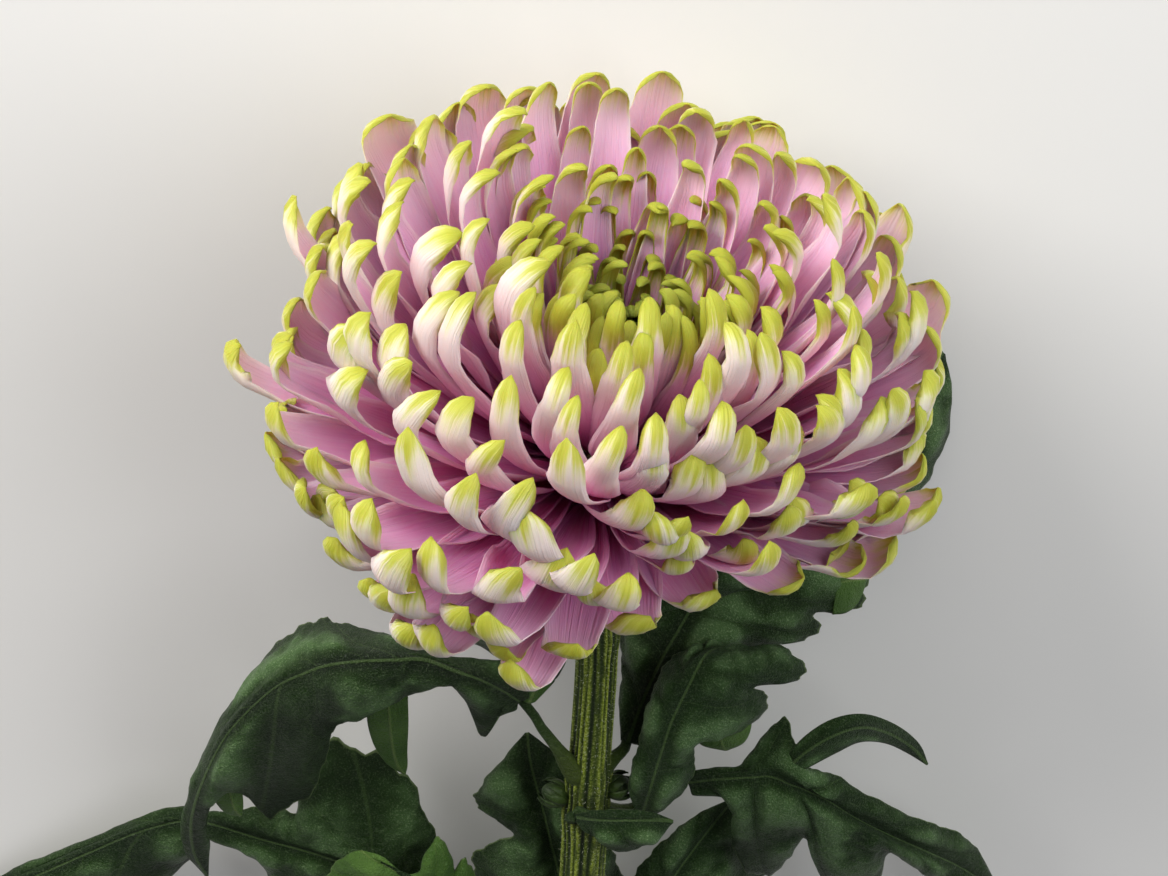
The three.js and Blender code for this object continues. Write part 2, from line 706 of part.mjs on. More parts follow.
function leafRow(row, index, count) {
  const points = row.map(seen);
  if (points.length === 1) {
    const tip = points[0];
    return [tip, tip, tip, tip, tip];
  }
  if (points.length === 5) {
    return points;
  }
  const [left, middle, right] = points;
  const bulge = LEAF_BULGE * Math.sin((Math.PI * index) / count);
  const halfway = (margin) => margin.clone().lerp(middle, 0.5).add(vector(0, 0, bulge));
  return [left, halfway(left), middle, halfway(right), right];
}

function faceNormals(rows) {
  return rows.map((row, r) => row.map((_, c) => {
    const before = rows[Math.max(r - 1, 0)][c];
    const after = rows[Math.min(r + 1, rows.length - 1)][c];
    const left = row[Math.max(c - 1, 0)];
    const right = row[Math.min(c + 1, row.length - 1)];
    const normal = vector(0, 0, 0).crossVectors(after.clone().sub(before), right.clone().sub(left));
    if (normal.lengthSq() < 1e-9) {
      return vector(0, 0, 1);
    }
    normal.normalize();
    return normal.z < 0 ? normal.negate() : normal;
  }));
}

// The blade narrows to a short blunt edge at the tip, so that its rows keep their width.
function leafRows(leaf) {
  const rows = leaf.rows.map((row, index) => leafRow(row, index, leaf.rows.length));
  const tip = rows.at(-1)[2];
  const before = rows.at(-2);
  rows[rows.length - 1] = before.map((point) => tip.clone().lerp(point, TIP_WIDTH));
  return rows;
}

function leafSolid(leaf) {
  const rows = leafRows(leaf);
  const normals = faceNormals(rows);
  const face = (shift) => rows.map(
    (row, r) => row.map((point, c) => point.clone().addScaledVector(normals[r][c], shift)),
  );
  const sheet = solidOf(blade(face(LEAF_THICKNESS / 2), face(-LEAF_THICKNESS / 2)));
  return sheet.add(solidOf(stalkTube(leaf, rows))).subtract(solidOf(stemGrown));
}

// The stalk runs from inside the stem to the blade, and on under the midrib.
function stalkTube(leaf, rows) {
  const ribRows = rows.slice(0, Math.ceil(rows.length * RIB_REACH));
  const stalk = [stemPoint(leaf.node), ...leaf.stalk.map(seen)];
  const under = ribRows.map((row) => row[2].clone().add(vector(0, 0, -LEAF_THICKNESS * 0.7)));
  const path = new THREE.CatmullRomCurve3([...stalk, ...under]);
  const bladeAt = pathFraction(path, stalk.length, stalk.length + under.length - 1);
  const radiusAt = (t) => (t < bladeAt
    ? lerp(STALK_RADIUS.base, STALK_RADIUS.blade, t / bladeAt)
    : lerp(STALK_RADIUS.blade, STALK_RADIUS.tip, (t - bladeAt) / (1 - bladeAt)));
  return tube(path, STALK_SIDES, STALK_RINGS, radiusAt);
}

function pathFraction(path, pointIndex, lastIndex) {
  const lengths = path.getLengths(200);
  return lengths[Math.round((pointIndex / lastIndex) * 200)] / lengths[200];
}

// Buds.
function budSolid(bud) {
  const lathe = lathed(BUD_PROFILE.map(([r, h]) => [r * bud.radius, h * bud.length]), BUD_SIDES);
  const shape = facingOut(mergeVertices(lathe, 1e-4));
  const outward = across.clone().multiplyScalar(bud.side);
  const lean = radians(BUD_LEAN);
  const axis = outward.clone().multiplyScalar(Math.cos(lean)).addScaledVector(stemUp, Math.sin(lean));
  shape.applyQuaternion(new THREE.Quaternion().setFromUnitVectors(vector(0, 0, 1), axis));
  const root = stemPoint(bud.node).addScaledVector(outward, stemGirth(bud.node) - BUD_SEAT);
  shape.translate(root.x, root.y, root.z);
  return solidOf(shape).subtract(solidOf(stemGrown));
}

// The finished flower.
const COLOURS = {
  stem: { color: 0x8f9a3f, roughness: 0.75 },
  calyx: { color: 0x6f8a3a, roughness: 0.7 },
  bloom: { color: 0xd9a9c0, roughness: 0.6 },
  leaf: { color: 0x2c4a2b, roughness: 0.8 },
  bud: { color: 0x3c4a22, roughness: 0.7 },
};

const flower = new THREE.Group();

function addMesh(name, geometry, colour) {
  const material = new THREE.MeshStandardMaterial({ ...COLOURS[colour], metalness: 0 });
  const mesh = new THREE.Mesh(geometry, material);
  mesh.name = name;
  flower.add(mesh);
}

addMesh("stem", stemSolid(0), "stem");
addMesh("calyx", geometryOf(calyxSolid(0)), "calyx");
addMesh("bloom", geometryOf(bloomSolid()), "bloom");
for (const [name, leaf] of Object.entries(LEAVES)) {
  addMesh(name, geometryOf(leafSolid(leaf)), "leaf");
}
for (const [name, bud] of Object.entries(BUDS)) {
  addMesh(name, geometryOf(budSolid(bud)), "bud");
}

export default flower;
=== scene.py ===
"""Looks of a cut disbud chrysanthemum that lies on a pale surface.

Sizes are millimetres, in the same frame as the solids: +Z up, and +Y along the stem to the bloom.
A mesh is turned into metres as its last step. Angles are degrees unless a name says otherwise.
"""

import math
import random

import bmesh
import bpy
from mathutils import Matrix, Vector, noise


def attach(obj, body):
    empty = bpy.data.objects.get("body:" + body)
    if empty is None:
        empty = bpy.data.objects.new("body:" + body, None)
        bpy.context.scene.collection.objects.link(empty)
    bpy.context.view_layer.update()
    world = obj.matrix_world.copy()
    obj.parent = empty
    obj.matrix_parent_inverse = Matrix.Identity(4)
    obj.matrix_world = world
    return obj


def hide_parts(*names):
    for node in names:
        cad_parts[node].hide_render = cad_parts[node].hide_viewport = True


MM = 0.001
UP = Vector((0, 0, 1))

# The receptacle, which florets, calyx and stem meet at, and the stem below it. The bow gives the
# stem's offset to the side at distances below the receptacle, and the taper its girth there.
HEAD_PLACE = Vector((24.5, 72.6, 54.0))
HEAD_LEAN = 9
CALYX_LEAN = 5
STEM_LENGTH = 210
STEM_RADIUS = 4.3
STEM_BOW = [(14.8, -1.2), (43, -1.0), (74, -2.4), (100, -3.6), (150, -6), (STEM_LENGTH, -9)]
STEM_NODES = [40, 76, 86, 128, 152, 180]
NODE_SWELLING = 0.09
NODE_REACH = 3
STEM_TAPER = [(0, 0.82), (70, 0.83), (84, 0.91), (150, 0.95), (STEM_LENGTH, 0.98)]
STEM_STEPS = 200
STEM_SIDES = 144

# Ribs round the stem, and the rings of its cut end: part of the radius, and how fresh it looks.
STEM_RIBS = 6
FINE_RIBS = 19
COARSE_RIB_HEIGHT = 0.12
FINE_RIB_HEIGHT = 0.2
HIGHEST_RIB = 0.32
CUT_RINGS = [(0.9, 0.6), (0.6, 0.6), (0.52, 1.0), (0.2, 1.0)]

# Hairs on the stem. Those nearest to the surface are left out.
HAIR_COUNT = 2600
HAIR_RADIUS = 0.055
HAIR_LENGTHS = (0.35, 0.75)
HAIR_ROOT = 0.05
HAIR_SEED = 11
LOWEST_HAIR = 1.2

# The bloom's rule. Age runs from 0, the outermost floret, to 1, the innermost. Cup is the roll
# of each half of a strap, in radians.
FLORET_COUNT = 372
EYE_CROWDING = 1.1
BLOOM_SEED = 2475
GOLDEN_ANGLE = 137.50776
DOME_RADIUS = 12
DOME_HEIGHT = 9
LOWEST_ROOT = 100
BLOOM_AGES = [
    {"age": 0.00, "start": 103, "length": 42, "width": 12.8, "incurve": 16, "hook": 88, "cup": 0.90},
    {"age": 0.12, "start": 97, "length": 49, "width": 12.6, "incurve": 22, "hook": 92, "cup": 0.86},
    {"age": 0.30, "start": 84, "length": 56, "width": 12.0, "incurve": 30, "hook": 90, "cup": 0.80},
    {"age": 0.50, "start": 67, "length": 59, "width": 11.4, "incurve": 35, "hook": 82, "cup": 0.86},
    {"age": 0.68, "start": 52, "length": 55, "width": 9.2, "incurve": 37, "hook": 76, "cup": 0.90},
    {"age": 0.82, "start": 38, "length": 43, "width": 8.6, "incurve": 32, "hook": 80, "cup": 1.2},
    {"age": 0.92, "start": 26, "length": 33, "width": 7.6, "incurve": 30, "hook": 90, "cup": 1.4},
    {"age": 1.00, "start": 10, "length": 22, "width": 5.6, "incurve": 22, "hook": 100, "cup": 1.4},
]

# How much each floret may differ from the rule, over the whole spread: start, incurve and hook by
# degrees, length, width and cup by a part of themselves, and the rest by radians.
SPREAD = {
    "start": 13, "length": 0.15, "width": 0.26, "incurve": 20, "hook": 44, "cup": 0.35,
    "bearing": 0.14, "sway": 0.36, "twist": 1.1, "veer": 0.9,
}
SPREAD_ANGLES = ("start", "incurve", "hook")

# More florets stand in the eye, and all of those there are slimmer.
EYE_FLORETS = 44
EYE_FROM = 0.8
EYE_SLIMMER = 0.8
EYE_CALM = 0.35
EYE_CLOSING = 0.45

# The bloom is lopsided: bearing round it, length factor and added droop of the outer florets.
SIDES = [
    (0, 0.94, 0), (25, 0.84, -1), (50, 0.73, -6), (70, 0.69, -4), (85, 0.76, 0), (100, 0.99, 3),
    (125, 1.08, 5), (150, 1.0, 1), (180, 1.02, 0), (250, 1.0, 0), (300, 1.0, 0), (335, 0.96, 0),
    (360, 0.94, 0),
]
SIDES_TO_AGE = 0.8
SIDES_FADE = 0.35

# Florets at the sides and the back are wider and straighter, and close less.
WIDE = {"width": 0.32, "breadth": 0.5, "calm": 0.5, "closing": 0.8}
WIDE_TO_AGE = 0.84
WIDE_FADE = 0.25

# Where the skirt is shortest, every second floret is left out: bearings in degrees, and up to
# which age.
THIN = {"from": 38, "to": 92, "to_age": 0.26}

# One floret: its mesh, its root, hook and tip, and how its margins close. The places are parts of
# its length, and the widths parts of its width.
FLORET_ACROSS = 8
FLORET_ALONG = 16
FLORET_THICKNESS = 0.42
FLORET_STEPS = 60
SECTION_PARTS = 4
ROOT_WIDTH = (0.36, 0.62)
HOOK_FROM = (0.72, 0.84)
FRONT_HOOK = 1.12
BACK_HOOK = 0.85
TAPER_FROM = 0.45
TAPER = (0.42, 0.16)
ROUND_FROM = 0.84
TIP_END = 0.12
TIP_NIP = 26
ROOT_CLOSING = 0.4
ROOT_OPEN_FROM = 0.35
TIP_CLOSING = 1.15
TIP_CLOSING_FROM = 0.66
TIP_CLOSING_SPAN = 0.3
VEER_FROM = 0.62
LONGEST_BEAK = 0.012
MARGIN_RIPPLES = 17

# A margin may flare open just past the start of the hook.
FLARE_PAST_HOOK = 0.03
FLARE_SPAN = 0.06
FLARE_OPENING = 0.75
FLARE_WIDENING = 0.12

# The weight of the head bends its lowest florets back from the surface.
PRESS_FROM = 25
PRESS_LIFT = 2.6
PRESS_TO = -6
LOWEST_FLORET = 0.3
HIGHEST_TIPS = 109

# The bloom is made in rings of florets: name, and the ages it runs between.
BLOOM_RINGS = [
    ("florets_outer", 0.0, 0.24),
    ("florets_lower", 0.24, 0.5),
    ("florets_upper", 0.5, 0.76),
    ("florets_eye", 0.76, 1.0),
]

# Radius and height of round forms on the head's axis, and the calyx's rows of bracts.
RECEPTACLE_PROFILE = [(11.6, -3.8), (12.2, -1.5), (11.8, 2), (10.2, 5.2), (7, 7.6), (3, 8.7)]
RECEPTACLE_SIDES = 40
CALYX_PROFILE = [(4.4, -13.9), (6.4, -13.2), (8.2, -11.7), (10.0, -9.4), (11.0, -7.2), (11.6, -4.3)]
CALYX_SIDES = 52
BRACT_ROWS = [
    {"count": 13, "radius": 5.2, "height": -12.6, "length": 7.0, "width": 4.6, "lean": 62, "turn": 0.0},
    {"count": 13, "radius": 8.2, "height": -10.6, "length": 8.0, "width": 5.2, "lean": 48, "turn": 0.5},
    {"count": 13, "radius": 10.3, "height": -8.2, "length": 8.6, "width": 5.6, "lean": 30, "turn": 0.0},
]
BRACT_ACROSS = 4
BRACT_ALONG = 8
BRACT_THICKNESS = 0.56

# The leaves are drawn as they look from above the flower. A point of an outline is its place
# in that picture, 1168 wide and 876 high, and its height above the surface in millimetres.
PICTURE = {"width": 1168, "centre_x": 584, "centre_y": 438, "head_x": 604, "head_y": 455}
PICTURE_SCALE = 0.1683
PICTURE_DISTANCE = 650
LOOK_DOWN = 63.6

# Each leaf: the stem node it grows from, its stalk's way to the blade, and rows that cross the
# blade from its base to its tip. A row goes from margin to margin over the midrib; a row of
# five also gives a point between midrib and margin, and the last row is the tip alone.
LEAVES = {
    "leaf_left_upper": {
        "node": 76,
        "stalk_girth": 0.9,
        "stalk": [(574, 770, 39), (548, 736, 42)],
        "rows": [
            [(528, 697, 42.5), (519, 701, 43.5), (514, 708, 42.5)],
            [(552, 679, 41), (511, 696, 45), (500, 716, 43)],
            [(543, 660, 41), (503, 691, 46), (484, 735, 36)],
            [(505, 662, 43), (480, 680, 47), (462, 694, 44)],
            [(466, 660, 43), (456, 672, 47.5), (446, 683, 45)],
            [(424, 654, 42), (424, 661, 48), (424, 688, 45)],
            [(383, 636, 38), (391, 648, 43.5), (396, 660, 48), (396, 684, 45), (398, 699, 42)],
            [(342, 625, 34), (360, 664, 47), (364, 714, 41)],
            [(322, 620, 32), (328, 668, 45), (334, 726, 38)],
            [(298, 631, 31), (304, 676, 43), (327, 748, 34)],
            [(272, 652, 31), (277, 688, 41), (312, 789, 28)],
            [(245, 688, 31), (248, 712, 38), (270, 814, 23)],
            [(219, 724, 31), (224, 740, 35), (241, 790, 27)],
            [(198, 771, 26), (203, 783, 30), (216, 796, 27)],
            [(187, 812, 21), (192, 820, 24), (205, 822, 22)],
            [(186, 848, 17), (194, 852, 19), (208, 842, 18)],
            [(208, 878, 15)],
        ],
        "flaps": [
            [
                [(366, 706, 39), (388, 700, 40), (408, 696, 40)],
                [(369, 728, 37.5), (390, 725, 38.5), (408, 722, 37.5)],
                [(376, 747, 35), (393, 748, 36), (407, 747, 35)],
                [(388, 763, 33), (398, 765, 33.5), (407, 764, 32.5)],
                [(405, 774, 31.5)],
            ],
            [
                [(211, 786, 28), (226, 772, 30), (240, 766, 30)],
                [(215, 799, 27), (229, 789, 28.5), (242, 786, 28.5)],
                [(225, 811, 26), (234, 807, 27), (243, 805, 26.5)],
                [(241, 816, 25.5)],
            ],
            [
                [(524, 701, 43), (529, 703, 43.3), (535, 701, 43)],
                [(523, 687, 43.5), (536, 686, 44.6), (549, 685, 43)],
                [(525, 673, 43.5), (540, 671, 45), (557, 669, 43)],
                [(529, 660, 43), (544, 657, 44), (559, 656, 42.5)],
                [(550, 646, 41.5)],
            ],
        ],
    },
    "leaf_left_lower": {
        "node": 128,
        "stalk": [(560, 958, 22), (495, 930, 21)],
        "rows": [
            [(448, 893, 19), (440, 905, 20), (430, 915, 19)],
            [(443, 860, 20), (418, 893, 22), (412, 925, 18)],
            [(426, 815, 21), (396, 884, 23), (385, 925, 16)],
            [(404, 772, 21), (372, 876, 23.5), (360, 915, 15)],
            [(366, 750, 21), (352, 869, 24), (330, 910, 14)],
            [(320, 743, 20), (332, 861, 23.5), (300, 908, 12)],
            [(306, 778, 20), (316, 856, 23), (285, 895, 14)],
            [(300, 812, 20), (296, 849, 22), (272, 878, 16)],
            [(268, 806, 18), (266, 841, 20), (257, 856, 17)],
            [(235, 812, 16), (238, 832, 18), (232, 842, 16)],
            [(205, 812, 14), (208, 823, 16), (206, 836, 13)],
            [(180, 807, 12), (180, 821, 14), (187, 858, 7)],
            [(140, 818, 10), (138, 832, 12.5), (150, 890, 4.5)],
            [(95, 838, 8), (92, 851, 10.5), (108, 915, 3.5)],
            [(45, 857, 6), (42, 873, 8.5), (60, 930, 3)],
            [(0, 877, 4), (-4, 894, 6), (10, 935, 3)],
            [(-46, 915, 3)],
        ],
    },
    "leaf_left_bottom": {
        "node": 152,
        "turned": True,
        "stalk": [(560, 1052, 19), (530, 1050, 21)],
        "rows": [
            [(512, 1040, 22), (503, 1046, 22.5), (492, 1056, 22)],
            [(515, 985, 22), (480, 1012, 25), (440, 1035, 21)],
            [(490, 925, 24), (460, 978, 27), (405, 1010, 20)],
            [(478, 892, 26), (450, 955, 28), (400, 985, 21)],
            [(466, 858, 27), (438, 930, 29), (372, 960, 20)],
            [(455, 873, 28), (430, 910, 29), (352, 930, 20)],
            [(440, 836, 28), (420, 893, 30), (350, 912, 23.5)],
            [(427, 869, 29.5), (408, 880, 30), (333, 893, 25)],
            [(405, 878, 29.5), (390, 868, 30), (329, 872, 26.5)],
            [(386, 860, 29), (372, 859, 29.5), (345, 856, 28)],
            [(360, 850, 28.5)],
        ],
    },
    "leaf_left_back": {
        "node": 40,
        "stalk": [(594, 634, 42)],
        "rows": [
            [(582, 634, 41), (578, 642, 41.5), (573, 652, 41)],
            [(560, 610, 37), (556, 638, 39.5), (553, 678, 33)],
            [(530, 590, 34), (530, 630, 37.5), (522, 662, 31)],
            [(495, 575, 31), (500, 618, 35.5), (492, 650, 29)],
            [(462, 560, 27), (468, 604, 32.5), (458, 632, 27)],
            [(432, 550, 23), (438, 589, 28.5), (425, 610, 24)],
            [(405, 548, 20), (412, 574, 23.5), (398, 590, 20)],
            [(388, 560, 18)],
        ],
    },
    "leaf_behind_stem": {
        "node": 128,
        "stalk": [(578, 975, 19)],
        "rows": [
            [(560, 958, 16.5), (572, 960, 18), (588, 962, 16)],
            [(480, 928, 12), (566, 940, 20), (618, 940, 14)],
            [(502, 905, 17), (563, 915, 21), (610, 905, 16)],
            [(474, 868, 17), (560, 885, 22), (620, 875, 16.5)],
            [(482, 847, 18), (555, 860, 22.5), (610, 850, 18)],
            [(514, 834, 22), (551, 845, 23), (598, 835, 20)],
            [(496, 818, 22), (547, 828, 24), (604, 812, 20)],
            [(477, 802, 20), (542, 808, 24), (598, 792, 21)],
            [(481, 786, 21), (536, 785, 24), (575, 768, 22)],
            [(505, 757, 23), (530, 760, 24.5), (552, 750, 23)],
            [(527, 731, 23)],
        ],
    },
    "leaf_right_front": {
        "node": 86,
        "stalk": [(622, 815, 36)],
        "rows": [
            [(637, 811, 37), (643, 812, 38), (652, 815, 37)],
            [(630, 788, 38), (650, 790, 41), (668, 804, 39)],
            [(634, 766, 39), (656, 770, 42.5), (687, 784, 38.5)],
            [(640, 743, 40), (663, 748, 43.5), (694, 762, 39)],
            [(647, 716, 40), (672, 722, 44), (696, 742, 41)],
            [(655, 692, 40), (682, 700, 44), (745, 726, 34)],
            [(663, 672, 39), (690, 684, 43.5), (768, 698, 34)],
            [(674, 658, 37), (697, 671, 42.5), (755, 686, 37)],
            [(690, 651, 35), (703, 660, 41), (803, 676, 32)],
            [(703, 648, 33), (711, 653, 39), (790, 654, 32)],
            [(716, 647, 31), (722, 649, 36), (762, 647, 31)],
            [(740, 652, 32)],
        ],
        "flaps": [
            [
                [(700, 716, 36), (722, 712, 36.5), (748, 708, 35)],
                [(695, 732, 34.5), (720, 731, 35.5), (751, 724, 34)],
                [(702, 744, 33.5), (722, 744, 34), (744, 741, 33)],
                [(726, 750, 32.5)],
            ],
        ],
    },
    "leaf_right_back": {
        "node": 76,
        "stalk": [(616, 756, 36.5)],
        "rows": [
            [(622, 740, 34.5), (628, 742, 35.5), (638, 744, 34.5)],
            [(621, 704, 32), (640, 708, 34.5), (653, 710, 33)],
            [(624, 668, 28.5), (652, 680, 33.5), (666, 693, 31)],
            [(622, 640, 25.5), (664, 656, 32), (692, 672, 29)],
            [(626, 610, 24), (678, 633, 31), (733, 658, 26)],
            [(640, 585, 23), (690, 613, 30), (768, 642, 25)],
            [(660, 562, 21), (703, 597, 28.5), (815, 634, 22)],
            [(680, 545, 20), (718, 582, 27), (816, 612, 21)],
            [(705, 530, 19), (735, 568, 25), (852, 609, 18)],
            [(735, 520, 17), (755, 556, 23), (866, 585, 16)],
            [(765, 515, 15), (778, 547, 20), (862, 557, 15)],
            [(795, 515, 13), (800, 540, 17), (838, 548, 14)],
            [(825, 530, 12)],
        ],
        "flaps": [
            [
                [(838, 558, 19), (836, 582, 21), (832, 614, 20.5)],
                [(850, 554, 18), (851, 580, 19.8), (845, 612, 19.5)],
                [(861, 558, 17), (863, 579, 18), (857, 602, 18)],
                [(867, 577, 17)],
            ],
        ],
    },
    "leaf_right_lower": {
        "node": 86,
        "stalk": [(625, 812, 31), (660, 797, 32)],
        "rows": [
            [(683, 772, 32.5), (688, 782, 33), (694, 793, 32.5)],
            [(712, 768, 33.5), (715, 779, 35), (726, 796, 33)],
            [(741, 767, 34), (742, 777, 36), (737, 822, 30)],
            [(756, 748, 33), (754, 777, 36.5), (735, 850, 27)],
            [(783, 718, 30), (766, 777, 36.5), (757, 874, 24)],
            [(795, 742, 34), (778, 779, 36.5), (784, 862, 27)],
            [(797, 758, 35.5), (794, 770, 36.8), (792, 784, 36.5), (800, 812, 35), (806, 838, 31)],
            [(808, 768, 35), (808, 791, 35.5), (838, 905, 18)],
            [(832, 774, 33), (830, 802, 34), (868, 903, 17)],
            [(872, 797, 30), (858, 820, 31), (888, 852, 26)],
            [(922, 820, 24), (895, 838, 27), (918, 862, 22)],
            [(952, 830, 19), (930, 853, 22), (935, 882, 16)],
            [(975, 848, 14), (962, 868, 16), (960, 897, 11)],
            [(1000, 892, 8)],
        ],
        "lobes": [
            [
                [(782, 764, 36), (786, 770, 37), (790, 776, 36.2)],
                [(803, 738, 36.5), (807, 751, 37.8), (809, 766, 36.5)],
                [(832, 719, 36), (834, 735, 37.5), (836, 752, 36)],
                [(864, 714, 33.5), (862, 727, 35), (860, 741, 33.5)],
                [(896, 725, 29), (889, 733, 30.5), (884, 742, 29.5)],
                [(918, 743, 25), (912, 747, 26.2), (907, 752, 25.5)],
                [(928, 765, 24)],
            ],
        ],
    },
    "leaf_right_bottom": {
        "node": 128,
        "stalk": [(604, 990, 22)],
        "rows": [
            [(604, 985, 22), (612, 992, 22.5), (622, 1000, 21)],
            [(612, 935, 22), (628, 960, 23.5), (665, 975, 17)],
            [(622, 897, 23), (646, 925, 24.5), (700, 945, 14)],
            [(636, 873, 23.5), (663, 895, 25), (735, 915, 12)],
            [(653, 851, 24), (680, 868, 25.5), (760, 885, 12)],
            [(674, 832, 24), (697, 845, 25), (758, 860, 14)],
            [(697, 815, 23.5), (712, 825, 24.5), (750, 835, 17)],
            [(735, 797, 21)],
        ],
    },
    "leaf_right_high": {
        "node": 40,
        "stalk": [(618, 618, 42)],
        "rows": [
            [(634, 598, 40), (638, 606, 40.5), (643, 615, 40)],
            [(690, 549, 34), (700, 572, 36.5), (714, 598, 34.5)],
            [(735, 505, 28), (750, 540, 32), (775, 578, 28.5)],
            [(785, 460, 21), (800, 505, 26), (834, 543, 21)],
            [(830, 415, 13), (848, 465, 18.5), (884, 513, 14)],
            [(868, 380, 8), (890, 425, 13.5), (930, 472, 9)],
            [(905, 357, 5), (922, 390, 9), (948, 418, 6)],
            [(944, 350, 4)],
        ],
    },
    "leaf_small_front": {
        "node": 86,
        "stalk": [(572, 818, 38)],
        "rows": [
            [(576, 814, 40.6), (577, 817, 41), (578, 821, 40.6)],
            [(592, 811, 42.5), (592, 819, 43.3), (593, 833, 42)],
            [(612, 810, 43.5), (612, 820, 44.5), (612, 847, 42)],
            [(635, 811, 43.5), (634, 820, 44.8), (634, 848, 42)],
            [(655, 814, 43), (654, 820, 44), (655, 834, 42.5)],
            [(674, 821, 42.5)],
        ],
    },
}

# How a blade is formed: its bulge, thickness, veins, folds and teeth, and the steps of its mesh.
LEAF_BULGE = 2.5
MIDRIB_DROP = 1.2
FULL_BULGE_SPAN = 16
LOBE_BULGE = 0.4
LOWEST_LEAF = 0.2
LEAF_THICKNESS = 0.5
LEAF_STEPS = 9
LEAF_ACROSS = 36
LOBE_ACROSS = 16
TIP_WIDTH = 0.06
PAST_MARGIN = 0.25
VEIN_LAG = 1.5
PUCKER = 1.7
LOBE_PUCKER = 0.3
MIDRIB_VALLEY = 3.5
TOOTH_DEPTH = 0.03
TINT_STEP = 0.37

# A leaf's stalk: its radii from the stem to the blade's tip, and the mesh.
STALK_RADIUS = {"root": 3.2, "base": 1.65, "blade": 1.0, "tip": 0.35}
STALK_STEPS = 48
STALK_SIDES = 12
STALK_GROOVE = 0.25
ROOT_REACH = 0.14
RIB_REACH = 0.8
STALK_VEIN = 0.6
STALK_FACE = 0.05

# The buds in the leaf axils: distance down the stem, side, length and radius.
BUDS = {
    "bud_left": {"node": 82, "side": -1, "length": 5.4, "radius": 2.4},
    "bud_right": {"node": 80, "side": 1, "length": 4.8, "radius": 2.5},
}
BUD_LEAN = 30
BUD_SEAT = 0.4
BUD_SIDES = 24
BUD_PROFILE = [
    (0.3, 0.02), (0.62, 0.08), (0.86, 0.26), (0.9, 0.5), (0.72, 0.76), (0.4, 0.92), (0.12, 0.985),
]
SEPAL_COUNT = 9
SEPAL_TURN = 0.3
SEPAL_WRAP = 0.42
SEPAL_THICKNESS = 0.24

# Colours of the florets. The pinks run from root to tip, and the lime from the tip down.
OUTER_PINKS = [
    (0.0, (0.48, 0.08, 0.27)), (0.3, (0.68, 0.25, 0.43)), (0.55, (0.81, 0.46, 0.56)),
    (0.78, (0.88, 0.66, 0.64)), (1.0, (0.88, 0.76, 0.58)),
]
INNER_PINKS = [
    (0.0, (0.52, 0.04, 0.28)), (0.3, (0.74, 0.16, 0.44)), (0.55, (0.86, 0.32, 0.62)),
    (0.78, (0.90, 0.51, 0.70)), (1.0, (0.90, 0.70, 0.66)),
]
LIME = [
    (0.0, (0.38, 0.40, 0.010)), (0.28, (0.50, 0.51, 0.05)), (0.5, (0.69, 0.65, 0.24)),
    (0.85, (0.87, 0.77, 0.53)),
]
# Darker green of the eye: partly the eye florets' own green, partly painted shade deep in the eye.
EYE_GREEN_AND_SHADE = (0.16, 0.21, 0.006)
# A darker pink, painted shade on the inner faces of the outer florets.
SKIRT_SHADE_PINK = (0.50, 0.22, 0.36)
EDGE_CREAM = (0.84, 0.66, 0.62)
STREAK_CREAM = (0.92, 0.80, 0.80)
LILAC_SHIFT = (0.90, 0.74, 0.96)

# How much of each is laid over the pinks, and the ages between which the skirt's painted shade and the
# eye's darker green with painted shade come in.
FLORET_PARTS = {"skirt_shade": 0.35, "edge": 0.4, "streaks": 0.28, "lilac": 0.25, "eye": 0.6, "lime": 0.96}
SKIRT_SHADE_AGES = (0.24, 0.02)
EYE_AGES = (0.85, 1.0)
EYE_LIME_AGES = (0.72, 0.98)

# Scales of the streaks across and along a floret, and how far apart two florets' streaks lie.
BROAD_STREAKS = (5, 1.6)
FINE_STREAKS = (17, 2.4)
STREAK_SHIFT = 37

# How far the lime runs down from a tip, in millimetres: the parts of streaks, rims and keel, and
# what is added in the eye. Below are the lengths over which it pales, and over which it ends.
LIME_REACH = {
    "streaks": 9, "fine": 3, "less": 6.6, "outside": 0.2, "rim": 2.8, "keel": 2.0,
    "eye": 7.5, "eye_outside": 3.5,
}
LIME_SPAN = 10
LIME_FADE = (8.5, 1.5)

# Colours of the leaves: their top, from painted shade in the hollows to painted light on the swellings, and
# what lies on it.
LEAF_TOP_SHADE_TO_LIGHT = [(0.2, (0.003, 0.010, 0.001)), (0.5, (0.012, 0.034, 0.003)), (0.8, (0.040, 0.094, 0.016))]
LEAF_UNDERSIDE = [(0.3, (0.036, 0.090, 0.012)), (0.7, (0.090, 0.175, 0.034))]
LEAF_DEEP = (0.009, 0.036, 0.003)
# A painted sheen, paler grey-green, laid on the swellings of the top.
LEAF_PAINTED_SHEEN = (0.095, 0.175, 0.065)
# Pale hair specks: partly the real pale hairs, partly painted glints where the painted sheen lies.
LEAF_HAIRS_AND_GLINTS = (0.34, 0.48, 0.24)
TOP_VEINS = (0.10, 0.17, 0.05)
UNDER_VEINS = (0.15, 0.22, 0.06)
LEAF_RIM = (0.17, 0.24, 0.09)
STALK_ROOT = (0.085, 0.12, 0.014)

# How much of each is laid over the green, and the scales of the patterns, per metre.
LEAF_PARTS = {
    "deep": 0.35, "painted_sheen": 0.8, "specks": 0.7, "top_veins": 0.45, "under_veins": 0.6, "rim": 0.6,
    "root": 0.7,
}
LEAF_SCALES = {"folds": 75, "veins": 120, "down": 260, "net": 380, "grain": 2900}

